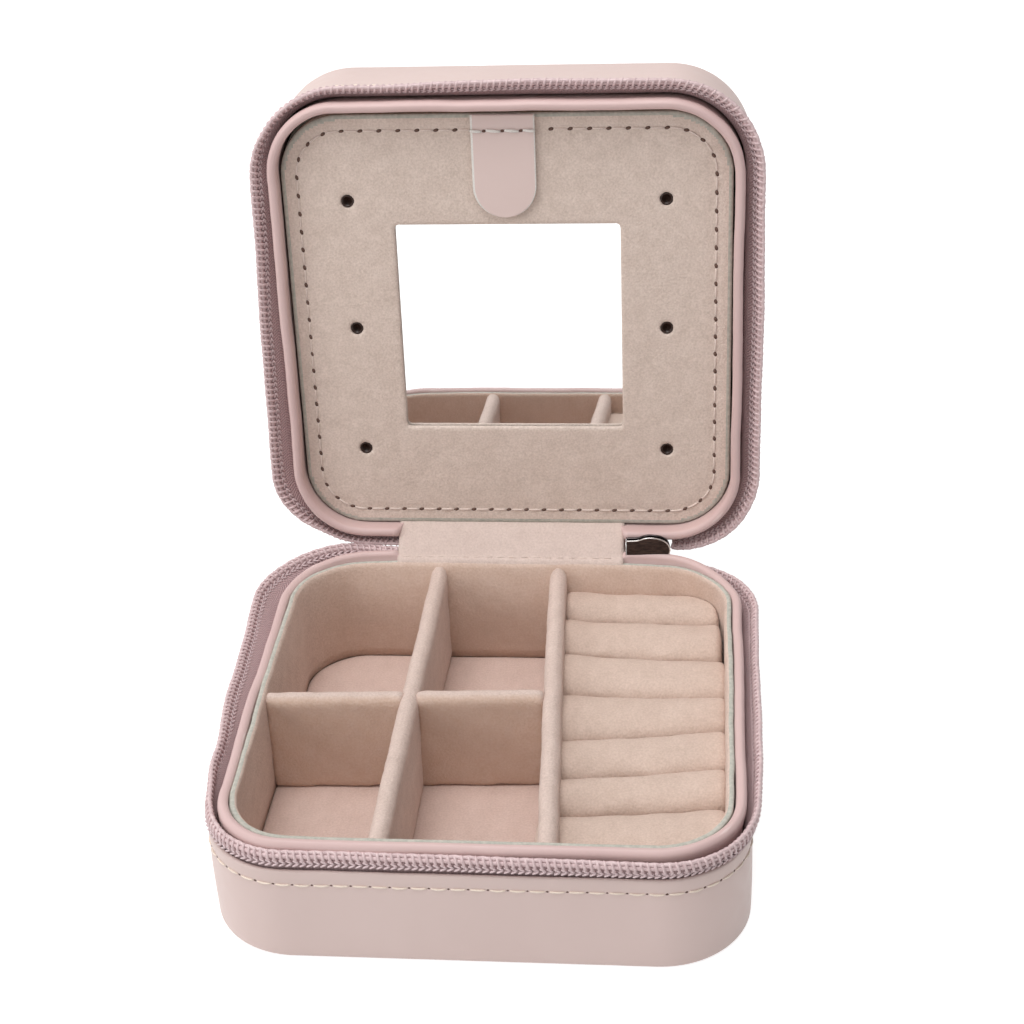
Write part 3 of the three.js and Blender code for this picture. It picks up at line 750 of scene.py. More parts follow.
def collar(half):
    """The leather-wrapped inner wall, which ends in a rounded lip above the zip."""
    top = COLLAR_HIGH[2]
    section = np.vstack([
        [(-3.3, 2.3), (-1.95, 2.3), (-1.95, 12), (-1.95, 20)],
        smooth_line([(-1.9, 21.5), (-1.65, 23.2), (-1.7, 24.4), (-2.2, top - 0.1), (-2.75, top),
                     (-3.3, top - 0.2), (-3.65, top - 0.8), (-3.6, 22.5), (-3.4, 20)], 4),
        [(-3.3, 12)],
    ])
    point, _ = CASE.at(ROUND)
    height = np.repeat(section[None, :, 1], len(ROUND), axis=0)
    covered = under_strip(point)[:, None]
    base = 12
    lowered = base + (height - base) * (half.notch - base) / (top - base)
    height = np.where(height > base, height * (1 - covered) + lowered * covered, height)
    lift = half.lift * (beside_strip(ROUND)[:, None] - covered).clip(0, 1)
    height = height + lift * np.clip(height / top, 0, 1) ** 4
    wave = 0.16 * ripple(point, 38, 21)[:, None] * (section[:, 1] > 20)
    offset = section[:, 0][None] + wave + rim_shift(half, ROUND, height)
    shape = Shape()
    shape.loft(CASE.lifted(ROUND, offset, height + 0.4 * wave), closed=True)
    half_piece(half, "collar", shape, [COLLAR_LEATHER], "lip_leather", "lip")


def lining_wall(half):
    """The velvet wall. Its top is rolled, with the pale backing showing next to the collar."""
    top = half.lining_top
    section = np.vstack([
        [(-4.6, 2.3), (-3.75, 2.3), (-3.75, top - 1.2)],
        smooth_line([(-3.75, top - 0.7), (-3.9, top - 0.15), (-4.35, top), (-4.85, top - 0.15),
                     (-5.15, top - 0.7), (-5.15, top - 2)], 4),
        smooth_line([(-5.1, top - 4), (-4.85, 0.5 * top), (-4.65, 4.5)], 6),
    ])
    between = (section + np.roll(section, -1, axis=0)) / 2
    pale = (between[:, 1] > top - 1) & (between[:, 0] > -4.75)
    point, _ = CASE.at(ROUND)
    in_front = np.clip(-point[:, 1] / HALF, 0, 1)[:, None] ** 2
    height = section[:, 1] - 0.5 * in_front * (section[:, 1] > top - 4)
    wave = 0.14 * ripple(point, 30, 31)[:, None] * (section[:, 1] > top - 4)
    offset = section[:, 0][None] + wave + rim_shift(half, ROUND, height)
    grid = CASE.lifted(ROUND, offset, height + 0.5 * wave)
    grid[..., :2] *= 1 + 0.0012 * ripple(grid, 12, 32)[..., None]
    shape = Shape()
    shape.loft(grid, closed=True, slots=pale.astype(int))
    half_piece(half, "lining_wall", shape, [VELVET, CUT_EDGE], "velvet", "liner")


def floor_pad(half, node):
    """The velvet floor, rolled down at its edge and faintly uneven."""
    bottom, top = PAD_HIGH[2] - 0.55, PAD_HIGH[2]
    rows = [(1.0, bottom), (1.0, top - 0.4), (0.993, top - 0.12), (0.98, top)]
    rows += [(share, top) for share in np.linspace(0.95, 0.05, 24)]
    point, normal = CASE.at(ROUND)
    rim = point + normal * (CELL_HALF - HALF)
    grid = np.stack([np.column_stack([rim * share, np.full(len(rim), z)]) for share, z in rows], axis=1)
    grid[..., 2] += 0.1 * ripple(grid, 26, 41) * (grid[..., 2] > top - 0.2)
    shape = Shape()
    shape.loft(grid, closed=True, open_section=True)
    half_piece(half, "floor_velvet", shape, [LIT_FLOOR_VELVET], "velvet", node)


# ---- the zip ----------------------------------------------------------------------------------

ZIP_START = -0.6 - STRIP_LOW[0]


def coil_line(half, distance):
    """The coil's centre and the way the tape's edge points there, as [offset, height] pairs."""
    flare = eased(distance / QUARTER, *half.flare)
    rise = eased(distance / QUARTER, *half.rise)
    point, _ = CASE.at(distance)
    flare = flare + 0.12 * ripple(point, 30, 51)
    slant = np.radians(94 - np.minimum(half.splay * flare, 50))
    centre = np.stack([flare, 23.1 + 0.1 * flare + rise], axis=-1)
    edge = np.stack([np.cos(slant), np.sin(slant)], axis=-1)
    return centre, edge


def outward(edge):
    """The tape's outer side, square to the way its edge points."""
    return np.stack([edge[..., 1], -edge[..., 0]], axis=-1)


def zip_tape(half):
    """Woven tape: straight up inside the wall, then curling out to the coil."""
    distance = np.arange(ZIP_START, CASE.length - half.zip_end, 0.9)
    centre, edge = coil_line(half, distance)
    start = np.array([TAPE_OFFSET, WALL_TOP - 0.6])
    share = np.linspace(0, 1, 12)[None, :, None]
    controls = (
        (start + 0 * centre)[:, None],
        (start + (0, 1.1) + 0 * centre)[:, None],
        (centre - 1.3 * edge)[:, None],
        centre[:, None],
    )
    weights = ((1 - share) ** 3, 3 * share * (1 - share) ** 2, 3 * share**2 * (1 - share), share**3)
    curl = sum(weight * control for weight, control in zip(weights, controls))
    straight = np.linspace((TAPE_OFFSET, TAPE_BOTTOM), start, 5, endpoint=False)
    line = np.concatenate([np.broadcast_to(straight, (len(distance), 5, 2)), curl], axis=1)
    forward = np.gradient(line, axis=1)
    side = outward(forward / np.linalg.norm(forward, axis=2, keepdims=True))
    outer = line + 0.18 * side
    inner = line - 0.18 * side
    section = np.concatenate([outer, inner[:, ::-1]], axis=1)
    along = np.linalg.norm(np.diff(line[0], axis=0), axis=1)
    across = np.concatenate([[0], np.cumsum(along)])
    across = np.concatenate([across, across[::-1]])
    uv = np.stack(np.broadcast_arrays(distance[:, None], across[None]), axis=-1)
    shape = Shape()
    shape.loft(CASE.lifted(distance, section[..., 0], section[..., 1]), uv=uv)
    half_piece(half, "tape", shape, [TWILL], "zip_tape", "zip_tape")


def at_coil(half, distance, along_edge, out):
    """Points in space, from the coil's centre along the tape's edge direction and out of its face."""
    centre, edge = coil_line(half, distance)
    place = centre + edge * along_edge[:, None] + outward(edge) * out[:, None]
    return CASE.lifted(distance, place[:, :1], place[:, 1:]).reshape(-1, 3)


def round_the_case(distance):
    """The direction of travel along the outline."""
    _, normal = CASE.at(distance)
    return np.column_stack([-normal[:, 1], normal[:, 0], np.zeros(len(distance))])


def zip_coil(half):
    """A true helix of nylon over a cord, sewn to the tape by a chain stitch on both faces."""
    reach, depth, nylon, cord = 0.88, 0.5, 0.3, 0.48
    run = CASE.length - half.zip_end - ZIP_START
    turns = round(run / COIL_PITCH)
    pitch = run / turns
    share = np.linspace(0, 1, turns * 12)
    distance = ZIP_START + share * run
    angle = 2 * math.pi * turns * share
    loops = at_coil(half, distance, reach * np.cos(angle), depth * np.sin(angle))
    coil = Shape()
    coil.tube(loops, nylon, round_the_case(distance))
    plain = np.arange(ZIP_START, ZIP_START + run, 0.6)
    coil.tube(at_coil(half, plain, 0 * plain, 0 * plain), cord, (0, 0, 1), sides=8)
    wave = 0.08 * np.sin(2 * math.pi * plain / (2 * pitch))
    coil.tube(at_coil(half, plain, 0.74 + wave, 0 * plain), 0.38, (0, 0, 1), sides=8)
    half_piece(half, "coil", coil, [NYLON], "zip_coil", "zip_coil")

    seam = Shape()
    share = np.linspace(0, 1, 4)
    thickness = 0.2 * np.array([0.6, 1, 1, 0.6])
    for turn in range(turns):
        leg = ZIP_START + pitch * (turn + 0.9 * share)
        for face in (1, -1):
            for spread in (0.5, -0.5):
                along = -1.25 + spread * (1 - share)
                path = at_coil(half, leg, along, np.full(4, face * 0.36))
                seam.tube(path, thickness, (0, 0, 1), sides=5)
    half_piece(half, "zip_seam", seam, [ZIP_THREAD], "zip_coil")


# ---- hinge strip and spine --------------------------------------------------------------------

def ribbon(line, thickness):
    """A closed section round an open line in the YZ plane."""
    first = line[0] + 0.02 * (line[1] - line[0])
    last = line[-1] + 0.02 * (line[-2] - line[-1])
    line = np.vstack([line[:1], first, line[1:-1], last, line[-1:]])
    forward = np.gradient(line, axis=0)
    side = outward(forward / np.linalg.norm(forward, axis=1, keepdims=True))
    return np.vstack([line + thickness / 2 * side, (line - thickness / 2 * side)[::-1]])


def drawn_across(section, left, right, seed):
    """The YZ section drawn out along X, with a soft unevenness."""
    across = np.linspace(left, right, 60)
    grid = np.zeros((len(across), len(section), 3))
    grid[..., 0] = across[:, None]
    grid[..., 1:] = section
    grid[..., 1:] += 0.07 * ripple(grid, 14, seed)[..., None]
    return grid


def lid_place(y, z):
    """A point of the closed drawing at its place on the open lid, as a YZ pair."""
    return opened(np.array([0.0, y, z]))[1:]


def hinge_strip():
    """Velvet from the tray's rear rim, up over both collars to the mirror panel's lower edge, in two pieces:
    the part next to the panel, drawn along it, and the rest, curving between the tray and the lid."""
    rim = STRIP_HIGH[2]
    panel_edge = lid_place(PANEL_HIGH[1] + 0.2, PANEL_LOW[2] + 0.5)
    line = smooth_line([
        (48.0, rim - 3.2), (48.5, rim - 0.9), (49.1, rim + 0.05), (50.1, rim + 0.35), (51.3, rim + 1.45),
        (53.1, rim + 3.0), (54.9, rim + 4.45), tuple(panel_edge)], 6)
    split = len(line) - 9
    cover = Shape()
    lower = ribbon(line[:split + 1], 0.7)
    cover.loft(drawn_across(lower, STRIP_LOW[0], STRIP_HIGH[0], 61), end_slot=1)
    piece = make_piece("hinge_velvet", cover, [LIT_STRIP_VELVET, CUT_EDGE])
    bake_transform(piece)
    finish(piece, "velvet", "hinge_strip_tray_half", "hinge_strip_lid_half")
    flap = Shape()
    upper = ribbon(line[split:], 0.7)
    flap.loft(drawn_across(upper, STRIP_LOW[0], STRIP_HIGH[0], 61), end_slot=1)
    piece = make_piece("panel_flap_velvet", flap, [LIT_STRIP_VELVET, CUT_EDGE])
    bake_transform(piece)
    finish(piece, "velvet")
    strip_seam(line)


def strip_seam(line):
    """The faint row of stitches along the strip's lower edge."""
    place = line[15]
    shape = Shape()
    for start in np.arange(STRIP_LOW[0] + 1.2, STRIP_HIGH[0] - 2, 2.6):
        x = start + np.linspace(0, 1.5, 5)
        rise = 0.38 + 0.05 * np.sin(np.linspace(0, math.pi, 5))
        path = np.column_stack([x, np.full(5, place[0] - 0.1), place[1] + rise])
        shape.tube(path, 0.1, (0, 0, 1), sides=5)
    ride(make_piece("hinge_velvet_seam", shape, [PALE_THREAD]), "tray", "velvet")


def hinge_spine():
    """The leather that joins the two rear walls behind the strip."""
    lower = [(48.7, TAPE_BOTTOM), (48.9, WALL_TOP - 0.1), (50.7, 22.2), (51.9, 23.8), (52.3, 24.8)]
    above = [(48.7, TAPE_BOTTOM), (48.7, WALL_TOP - 0.5), (49.2, 21.6), (50.5, 23.4), (51.2, 24.6)]
    upper = [lid_place(y, CLOSED_HEIGHT - z) for y, z in reversed(above)]
    section = ribbon(smooth_line(lower + upper, 6), 0.5)
    shape = Shape()
    shape.loft(drawn_across(section, STRIP_LOW[0] - 0.3, STRIP_HIGH[0] + 0.3, 71))
    piece = make_piece("hinge_spine_leather", shape, [LEATHER])
    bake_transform(piece)
    finish(piece, "leather", "hinge_spine_tray_half", "hinge_spine_lid_half")


# ---- inside the tray --------------------------------------------------------------------------

def soft_divider(node, body, name, seed, slot_x=None):
    """A board under velvet pile, its edges rounded, reaching back to the leaning rear wall. The pile
    also closes in on the slot for another divider, if there is one at slot_x."""
    piece = link(name, frame["nodes"][node].data.copy())
    remeshed(piece, 0.6, 3)
    normals = np.zeros(len(piece.data.vertices) * 3)
    piece.data.vertices.foreach_get("normal", normals)
    points = mesh_points(piece.data) + PILE * normals.reshape(-1, 3)
    rear = np.clip((points[:, 1] - CELL_HALF + 2) / 2, 0, 1)
    points[:, 1] += (0.4 + REAR_LEAN) * rear * np.clip(points[:, 2] / COLLAR_HIGH[2], 0, 1) ** 4
    if slot_x is not None:
        past = points[:, 0] - slot_x
        points[:, 0] -= 0.6 * np.sign(past) * np.clip(1 - (np.abs(past) - 2) / 3, 0, 1)
    points[:, 0] += 0.16 * ripple(points[:, 1:], 32, seed)
    points += 0.05 * ripple(points, 6, seed + 1)[:, None]
    set_mesh_points(piece.data, points)
    coated(piece, LIGHT_VELVET)
    ride(piece, body, "divider_velvet", node)


ROLL_EDGES_LEFT = (CELL_HALF + 2.4, 36.5, 23.5, 9.0, -7.0, -19.5, -30.0, -CELL_HALF)
ROLL_EDGES_RIGHT = (CELL_HALF + 0.6, 35.5, 21.5, 8.5, -2.5, -14.5, -26.0, -CELL_HALF)


def roll_shape(number):
    """One foam roll between two fanned valley lines: flat sides, rounded top, pillowed ends."""
    base, top = ROLL_LOW[2], ROLL_HIGH[2]
    left = ROLL_LOW[0] - 2.5
    right = CELL_HALF + (0.5 if number > 1 else -0.8)
    across = np.concatenate([[0, 0.01], np.linspace(0.03, 0.97, 22), [0.99, 1]])
    shrink = np.clip(np.minimum(across, 1 - across) / 0.03, 0, 1) ** 0.5
    angle = np.linspace(0, math.pi, 19)
    crest = top - 4.6
    over = np.column_stack([np.cos(angle), np.sin(angle)])
    rear = np.interp(across, (0, 1), (ROLL_EDGES_LEFT[number], ROLL_EDGES_RIGHT[number]))
    front = np.interp(across, (0, 1), (ROLL_EDGES_LEFT[number + 1], ROLL_EDGES_RIGHT[number + 1]))
    half_width = (rear - front) / 2 + 0.2 - 0.5 * (1 - shrink)
    centre = (rear + front) / 2
    grid = np.zeros((len(across), len(angle) + 2, 3))
    grid[..., 0] = (left + across * (right - left))[:, None]
    grid[:, 1:-1, 1] = centre[:, None] + half_width[:, None] * over[:, 0]
    grid[:, 1:-1, 2] = crest + (4.6 - 0.6 * (1 - shrink))[:, None] * over[:, 1] ** 0.8
    grid[:, 0, 1] = centre + half_width
    grid[:, -1, 1] = centre - half_width
    grid[:, (0, -1), 2] = base
    shape = Shape()
    shape.loft(grid)
    return shape


def keep_in_corner(points):
    """Pulls points that are past the tray's rounded inner corners back to the wall."""
    reach = CELL_HALF - (HALF - CORNER)
    middle = CELL_HALF - reach
    beyond = np.clip(np.abs(points[:, :2]) - middle, 0, None)
    distance = np.linalg.norm(beyond, axis=1)
    both = (beyond > 0).all(axis=1) & (distance > reach)
    scale = np.where(both, reach / np.maximum(distance, 1e-6), 1)
    pulled = np.sign(points[:, :2]) * (middle + beyond * scale[:, None])
    points[:, :2] = np.where(both[:, None], pulled, points[:, :2])
    return points


def swollen(pieces, cap):
    """Inflates closed foam pieces by a short cloth simulation, each point moving at most cap, then
    smooths away its small creases and subdivides the skin once."""
    scene = bpy.context.scene
    for piece in pieces:
        cloth = piece.modifiers.new("Cloth", "CLOTH").settings
        cloth.mass = 0.002
        cloth.use_pressure = True
        cloth.uniform_pressure_force = 4
        cloth.shrink_min = -0.035
        cloth.tension_stiffness = 12
        cloth.bending_stiffness = 0.4
        cloth.effector_weights.gravity = 0
    for step in range(1, 21):
        scene.frame_set(step)
    graph = bpy.context.evaluated_depsgraph_get()
    for piece in pieces:
        rest = mesh_points(piece.data)
        travel = mesh_points(piece.evaluated_get(graph).data) - rest
        length = np.linalg.norm(travel, axis=1, keepdims=True)
        travel *= np.minimum(1, cap / np.maximum(length, 1e-6))
        piece.modifiers.clear()
        set_mesh_points(piece.data, rest + travel)
        smooth = piece.modifiers.new("Smooth", "SMOOTH")
        smooth.factor = 0.5
        smooth.iterations = 5
        piece.modifiers.new("Subdivision", "SUBSURF").levels = 1
        applied(piece)
    scene.frame_set(1)


def ring_rolls():
    rolls = []
    for number in range(len(ROLL_EDGES_LEFT) - 1):
        piece = make_piece(f"ring_roll_velvet_{number + 1}", roll_shape(number), [ROLL_VELVET])
        remeshed(piece, 0.8, 2)
        points = keep_in_corner(mesh_points(piece.data))
        points += 0.09 * ripple(points, 9, 80 + number)[:, None]
        set_mesh_points(piece.data, points)
        rolls.append(piece)
    swollen(rolls, 0.35)
    for number, piece in enumerate(rolls):
        coated(piece, ROLL_VELVET)
        ride(piece, "tray", "roll_velvet", f"ring_roll_{number + 1}")


# ---- mirror panel -----------------------------------------------------------------------------

def outline_of(half_x, half_y, corner, centre_y):
    track = Track(half_x, half_y, corner, centre_y)
    return track.points[1:-1:2]


def earring_places():
    for x in (-EARRING_X, EARRING_X):
        for row in (-1, 0, 1):
            yield x, PANEL_CENTRE + row * EARRING_PITCH


def panel_outlines(margin):
    """The rim, the window with a margin and the six earring holes."""
    outlines = [outline_of(PANEL_HALF_X + PILE, PANEL_HALF_Y + PILE, PANEL_CORNER, PANEL_CENTRE)]
    if margin is not None:
        outlines.append(outline_of(WINDOW_HALF_X + margin, WINDOW_HALF_Y + margin, 0.8, PANEL_CENTRE))
    outlines += [arc(place, EARRING_RADIUS, 0, 345, 24) for place in earring_places()]
    return outlines


def plate_piece(name, outlines, bottom, top, bevel, materials, place):
    shape = Shape()
    points, faces = plate_part(outlines, bottom, top, bevel)
    shape.add(points, faces, smooth=False)
    return make_piece(name, shape, materials, place)


SEAM = Track(PANEL_HALF_X - SEAM_INSET, PANEL_HALF_Y - SEAM_INSET, SEAM_CORNER, PANEL_CENTRE)


def seam_distance(points):
    """How far points of the panel are from its stitch line."""
    straight = np.array([PANEL_HALF_X, PANEL_HALF_Y]) - SEAM_INSET - SEAM_CORNER
    beyond = np.abs(points[:, :2] - (0, PANEL_CENTRE)) - straight
    outside = np.linalg.norm(np.clip(beyond, 0, None), axis=1)
    return np.abs(outside + np.minimum(beyond.max(axis=1), 0) - SEAM_CORNER)


def panel_velvet():
    """The panel's face, with a sewn channel, softened edges and a faint unevenness."""
    piece = plate_piece("panel_velvet", panel_outlines(0), VELVET_FACE, PANEL_HIGH[2], 0.35,
                        [VELVET], as_drawn)
    remeshed(piece, 0.45, 1)
    points = mesh_points(piece.data)
    front = np.clip((PANEL_HIGH[2] - points[:, 2]) / (PANEL_HIGH[2] - PANEL_LOW[2]), 0, 1)
    points[:, 2] += 0.13 * front * np.exp(-(seam_distance(points) / 1.1) ** 2)
    points[:, 2] += 0.05 * front * ripple(points, 20, 91)
    set_mesh_points(piece.data, opened(points))
    coated(piece, PANEL_VELVET, CUT_EDGE)
    rim = edge_faces(piece.data, points)
    piece.data.polygons.foreach_set("material_index", rim)
    ride(piece, "panel", "velvet", "panel_face")


def edge_faces(mesh, points):
    """1 for faces on the panel's outer edge, 0 elsewhere."""
    centre = np.array([points[list(face.vertices)].mean(axis=0) for face in mesh.polygons])
    beyond = np.abs(centre[:, :2] - (0, PANEL_CENTRE)) - (
        PANEL_HALF_X - PANEL_CORNER, PANEL_HALF_Y - PANEL_CORNER)
    outside = np.linalg.norm(np.clip(beyond, 0, None), axis=1) + np.minimum(beyond.max(axis=1), 0)
    return (outside > PANEL_CORNER - 0.75).astype(int).tolist()


def panel_stitching():
    """Short slanted needle holes with a thin pale thread between them, round the panel's border."""
    threads = Shape()
    holes = Shape()
    count = round(SEAM.length / 3.85)
    pitch = SEAM.length / count
    face = VELVET_FACE
    slant = math.radians(16)
    share = np.linspace(0, 1, 5)
    for number in range(count):
        start = (number + 0.5) * pitch
        point, normal = SEAM.at(np.array([start]))
        if abs(point[0, 0]) < TAB_HIGH[0] and point[0, 1] < PANEL_CENTRE:
            continue
        out = np.array([*normal[0], 0])
        along = np.array([-out[1], out[0], 0])
        lean = along * math.cos(slant) + out * math.sin(slant)
        centre = np.array([*point[0], face + 0.1])
        # A dark dot at the needle hole: painted shade.
        holes.lens(centre, np.array([0, 0, -1.0]), lean, 1.15, 0.72, 0.15)
        distance = start + 0.55 + (pitch - 1.1) * share
        path = SEAM.lifted(distance, 0 * distance, face + 0.16 - 0.14 * np.sin(math.pi * share))
        threads.tube(path, 0.16 + 0.06 * np.sin(math.pi * share), (0, 0, 1), sides=6)
    ride(make_piece("panel_stitches", threads, [PALE_THREAD], opened), "panel", "velvet")
    ride(make_piece("panel_needle_holes", holes, [NEEDLE_HOLE_SHADE], opened), "panel", "velvet")


def earring_sleeves():
    """A dark cup behind each earring opening: painted shade for the inside of the hole."""
    shape = Shape()
    angle = np.linspace(0, 2 * math.pi, 24, endpoint=False)
    face = PANEL_LOW[2]
    section = ((1.28, face + 0.05), (1.0, face + 0.1), (0.9, face + 0.9), (0.01, face + 1.0),
               (0.01, face + 1.3), (1.28, face + 1.3))
    for x, y in earring_places():
        grid = np.array([[(x + r * math.cos(a), y + r * math.sin(a), z) for r, z in section] for a in angle])
        shape.loft(grid, closed=True)
    ride(make_piece("earring_hole_shade_sleeves", shape, [EARRING_HOLE_SHADE], opened), "panel", "velvet")


def mirror_and_back():
    glass = outline_of(GLASS_HIGH[0], (GLASS_HIGH[1] - GLASS_LOW[1]) / 2, 0.8, PANEL_CENTRE)
    piece = plate_piece("mirror_sheet", [glass], GLASS_LOW[2], GLASS_HIGH[2], 0.12, [MIRROR], opened)
    ride(piece, "panel", "mirror", "mirror_glass")
    piece = plate_piece("panel_back_velvet", panel_outlines(None), BACK_LOW[2], BACK_HIGH[2], 0.3,
                        [VELVET], as_drawn)
    remeshed(piece, 0.5, 1)
    points = mesh_points(piece.data)
    points[:, 2] += 0.04 * ripple(points, 18, 95)
    set_mesh_points(piece.data, opened(points))
    coated(piece, PANEL_VELVET)
    ride(piece, "panel", "velvet", "panel_back")


# ---- pull tab ---------------------------------------------------------------------------------

def tab_profile(length):
    """Half widths of the tab at distances from its top: straight, then a half round."""
    straight = length - TAB_HIGH[0]
    turn = np.linspace(0, 0.985 * math.pi / 2, 22)
    along = np.linspace(0, straight, 34, endpoint=False)
    distance = np.concatenate([along, straight + TAB_HIGH[0] * np.sin(turn)])
    width = np.concatenate([np.full(34, TAB_HIGH[0]), TAB_HIGH[0] * np.cos(turn)])
    return distance, width


def pull_tab():
    """The leather tab: sewn down at its top, free below the seam."""
    length = TAB_HIGH[1] - TAB_LOW[1] - 0.3
    distance, width = tab_profile(length)
    thick = (TAB_HIGH[2] - TAB_LOW[2]) / 2
    middle = (TAB_HIGH[2] + TAB_LOW[2]) / 2 - 0.05
    angle = np.linspace(0, 2 * math.pi, 40, endpoint=False)
    flatness = 0.16
    x = np.sign(np.cos(angle)) * np.abs(np.cos(angle)) ** 0.35
    z = np.sign(np.sin(angle)) * np.abs(np.sin(angle)) ** flatness
    grid = np.zeros((len(distance), len(angle), 3))
    grid[..., 0] = width[:, None] * x
    grid[..., 1] = (TAB_LOW[1] - 0.2 + distance)[:, None]
    grid[..., 2] = middle + thick * z
    seam_dent = 0.16 * np.exp(-((distance - 3.1) / 0.7) ** 2)[:, None]
    curl = 0.35 * np.clip((distance - 6) / length, 0, 1)[:, None] ** 2
    grid[..., 2] += seam_dent * (z < 0) - curl + 0.04 * ripple(grid, 11, 101)
    rim = (np.abs(x) > 0.95).astype(int)
    shape = Shape()
    shape.loft(grid, slots=rim, end_slot=1)
    piece = make_piece("tab_leather", shape, [LEATHER, GREY_THREAD], opened)
    seam = TAB_LOW[1] + 3.3
    start = Vector(opened(np.array([0, seam, middle]))) * MM
    end = Vector(opened(np.array([0, seam + 2.0, middle]))) * MM
    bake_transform(piece)
    finish(piece, "leather", "tab_root", "pull_tab")


def tab_stitching():
    """Four stitches across the tab, in line with the panel's border seam."""
    threads = Shape()
    holes = Shape()
    seam = PANEL_LOW[1] + SEAM_INSET
    face = TAB_LOW[2] - 0.05
    pitch = 2 * TAB_HIGH[0] / 3.5
    share = np.linspace(0, 1, 7)
    belly = np.sin(math.pi * share)
    for number in range(4):
        left = -TAB_HIGH[0] + (number - 0.25) * pitch
        x = np.clip(left + pitch * (0.12 + 0.76 * share), 0.1 - TAB_HIGH[0], TAB_HIGH[0] - 0.1)
        path = np.column_stack([x, seam + 0.25 * (share - 0.5), face - 0.05 - 0.16 * belly])
        threads.tube(path, 0.34 * (0.7 + 0.3 * belly), (0, 0, 1))
        if number:
            centre = np.array([left, seam, face - 0.02])
            # A dark dot at the needle hole: painted shade.
            holes.lens(centre, np.array([0, 0, -1.0]), np.array([1.0, 0, 0]), 0.8, 0.6, 0.05)
    ride(make_piece("tab_stitches", threads, [GREY_THREAD], opened), "panel", "leather")
    ride(make_piece("tab_needle_holes", holes, [NEEDLE_HOLE_SHADE], opened), "panel", "leather")


# ---- zip slider and pull ----------------------------------------------------------------------

def upright(points, front):
    """A plate drawn flat, stood up facing the front of the case."""
    return np.column_stack([points[:, 0], front + points[:, 2], points[:, 1]])


SLIDER_X = (PULL_LOW[0] + PULL_HIGH[0]) / 2
SLIDER_HALF = (SLIDER_HIGH[0] - SLIDER_LOW[0]) / 2
SLIDER_Z = (SLIDER_LOW[2] + SLIDER_HIGH[2]) / 2 + 2.65
PLATE_RISE = (SLIDER_HIGH[2] - SLIDER_LOW[2]) / 2 + 0.1


def slider_outline():
    """A straight tail, a hump over the wedge and a rounded nose, symmetric top to bottom."""
    shares = np.array([(-0.94, 0.72), (-0.45, 0.77), (-0.1, 0.96), (0.2, 1.0), (0.62, 0.86),
                       (0.9, 0.5), (1.0, 0.0)])
    top = smooth_line(shares * (SLIDER_HALF, PLATE_RISE), 7)
    outline = np.vstack([top, (top * (1, -1))[-2::-1]])
    return outline + (SLIDER_X, SLIDER_Z)


def zip_slider():
    """Two shaped plates joined by a wedge. The outer one has a wire bail, and the inner one a pale metal rim,
    a painted highlight along its edge."""
    shape = Shape()
    thickness, bevel, wire, wedge_radius = 0.6, 0.22, 0.3, 1.5
    inner, outer = SLIDER_LOW[1] + 0.7, PULL_LOW[1] - 0.9
    for front in (inner, outer):
        points, faces = plate_part([slider_outline()], 0, thickness, bevel)
        shape.add(upright(points, front), faces, smooth=False)
    wedge = arc((SLIDER_X + 0.6, SLIDER_Z), wedge_radius, 0, 345, 24)
    points, faces = plate_part([wedge], 0, outer - inner, 0.1)
    shape.add(upright(points, inner + 0.2), faces, smooth=False)
    pivot = JOINTS["zip_pull_lift"]["pos_m"][2] / MM
    bail = smooth_line([(51.6, pivot - 1.6), (52.5, pivot - 1.4), (53.1, pivot - 0.6), (53.1, pivot + 0.5),
                        (52.5, pivot + 1.1), (51.6, pivot + 1.3)], 6)
    path = np.column_stack([np.full(len(bail), SLIDER_X), bail])
    shape.tube(path, wire, (1, 0, 0), sides=10)
    # A pale rim round the inner plate: a painted highlight along its edge.
    rim = np.vstack([slider_outline(), slider_outline()[:1]])
    flat_rim = np.column_stack([rim, np.full(len(rim), 0.06)])
    shape.tube(upright(flat_rim, inner), wire / 2, (0, 1, 0), slot=1)
    ride(make_piece("slider_metal", shape, [GUNMETAL, PAINTED_HIGHLIGHT_METAL]), "tray", "gunmetal", "zip_slider")


def zip_pull():
    """A tapering metal pull with a rounded end and an eye for the bail."""
    tip = PULL_LOW[2]
    half = (PULL_HIGH[0] - PULL_LOW[0]) / 2
    pivot = JOINTS["zip_pull_lift"]["pos_m"][2] / MM
    side = smooth_line([(1.2, pivot - 1.4), (0.75 * half, pivot - 4), (half, tip + half + 1)], 5)
    outline = np.vstack([
        side[::-1] * (-1, 1),
        arc((0, pivot - 1.05), 1.25, 170, 10, 8),
        side,
        arc((0, tip + half), half, 0, -180, 14),
    ])
    eye = arc((0, pivot - 1.05), 0.8, 0, 345, 20)
    shape = Shape()
    points, faces = plate_part([outline, eye], 0, PULL_HIGH[1] - PULL_LOW[1], 0.15)
    points[:, 0] += SLIDER_X
    shape.add(upright(points, PULL_LOW[1]), faces, smooth=False)
    ride(make_piece("pull_metal", shape, [GUNMETAL]), "pull", "gunmetal", "zip_pull")


# ---- assembly ---------------------------------------------------------------------------------

def build_half(half, floor_node):
    leather_wrap(half)
    wall_stitching(half)
    collar(half)
    lining_wall(half)
    floor_pad(half, floor_node)
    zip_tape(half)
    zip_coil(half)


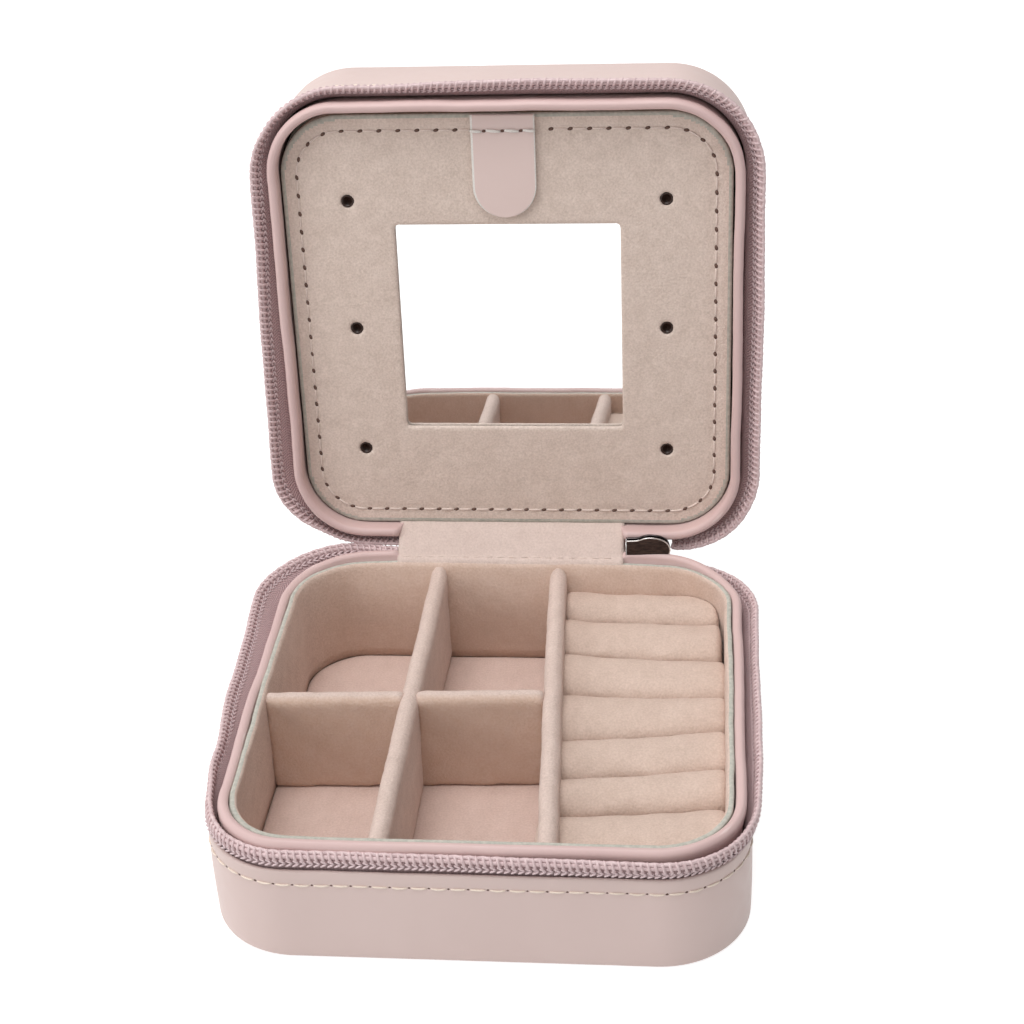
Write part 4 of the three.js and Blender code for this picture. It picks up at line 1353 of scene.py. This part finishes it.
def build_case():
    build_half(TRAY, "floor_pad")
    build_half(LID, "lining")
    hinge_strip()
    hinge_spine()
    soft_divider("ring_divider", "tray", "ring_divider_velvet", 111)
    long_low, long_high = drawn_box("long_divider")
    soft_divider("cross_divider", "cross", "cross_divider_velvet", 113, (long_low[0] + long_high[0]) / 2)
    soft_divider("long_divider", "long", "long_divider_velvet", 115)
    ring_rolls()
    panel_velvet()
    panel_stitching()
    earring_sleeves()
    mirror_and_back()
    pull_tab()
    tab_stitching()
    zip_slider()
    zip_pull()
    for node in ("tray_base_board", "tray_wall_board", "lid_top_board", "lid_wall_board", "panel_frame"):
        for material_slot in frame["nodes"][node].material_slots:
            material_slot.material = BOARD


# ---- stage ------------------------------------------------------------------------------------

def stage_floor():
    """White paper. It shines a little, more towards the camera and in the mirror than on the case."""
    mesh = bpy.data.meshes.new("floor")
    side = 60.0
    corners = [(-side, -side, 0), (side, -side, 0), (side, side, 0), (-side, side, 0)]
    mesh.from_pydata(corners, [], [(0, 1, 2, 3)])
    made = Finish("studio_white", 0.9, specular=0.0)
    seen = made.node("ShaderNodeLightPath")
    straight = made.math("MAXIMUM", seen.outputs["Is Camera Ray"], seen.outputs["Is Glossy Ray"])
    glow = made.scaled(straight, 0.28, 0.78, 0, 1)
    made.shader.inputs["Emission Color"].default_value = (1, 1, 1, 1)
    made.tree.links.new(glow, made.shader.inputs["Emission Strength"])
    made.colour(made.mixed(made.noise(400, 2), (0.5, 0.5, 0.5, 1), (0.52, 0.52, 0.52, 1)))
    mesh.materials.append(made.material)
    link("floor", mesh)


def soft_light(name, place, aim, size, power):
    light = bpy.data.lights.new(name, "AREA")
    light.size = size
    light.energy = power
    lamp = link(name, light)
    lamp.location = place
    lamp.rotation_euler = (Vector(aim) - Vector(place)).to_track_quat("-Z", "Y").to_euler()


def stage_light():
    """A soft room, brighter on the left, with one large lamp overhead and one at the left."""
    world = bpy.data.worlds.new("studio")
    world.use_nodes = True
    tree = world.node_tree
    direction = tree.nodes.new("ShaderNodeSeparateXYZ")
    tree.links.new(tree.nodes.new("ShaderNodeTexCoord").outputs["Generated"], direction.inputs[0])
    strength = tree.nodes.new("ShaderNodeMapRange")
    for name, value in (("From Min", -1), ("From Max", 1), ("To Min", 0.76), ("To Max", 0.28)):
        strength.inputs[name].default_value = value
    tree.links.new(direction.outputs["X"], strength.inputs["Value"])
    seen = tree.nodes.new("ShaderNodeMath")
    seen.operation = "MAXIMUM"
    tree.links.new(strength.outputs[0], seen.inputs[0])
    tree.links.new(tree.nodes.new("ShaderNodeLightPath").outputs["Is Camera Ray"], seen.inputs[1])
    tree.links.new(seen.outputs[0], tree.nodes["Background"].inputs["Strength"])
    tree.nodes["Background"].inputs["Color"].default_value = (1, 1, 1, 1)
    bpy.context.scene.world = world
    middle = (0, 0, 0.03)
    soft_light("overhead", (-0.1, -0.1, 0.9), middle, 0.55, 4.95)
    soft_light("left_key", (-0.78, -0.45, 0.5), middle, 0.45, 2.15)
    bpy.context.scene.view_settings.view_transform = "Standard"


def stage_camera():
    """The camera's height, its distance in front and its place to the right, in metres, then its aim."""
    right, in_front, height = 0.041, 0.3095, 0.242
    turn_left, look_down, tilt = math.radians(6.59), math.radians(29.54), math.radians(-2.78)
    camera = bpy.data.objects.new("camera", bpy.data.cameras.new("camera"))
    bpy.context.scene.collection.objects.link(camera)
    aim = Matrix.Rotation(turn_left, 4, "Z") @ Matrix.Rotation(math.pi / 2 - look_down, 4, "X")
    camera.matrix_world = Matrix.Translation((right, -in_front, height)) @ aim @ Matrix.Rotation(tilt, 4, "Z")
    camera.data.lens = 67.7
    camera.data.clip_start = 0.01
    bpy.context.scene.camera = camera


build_case()
stage_floor()
stage_light()
stage_camera()
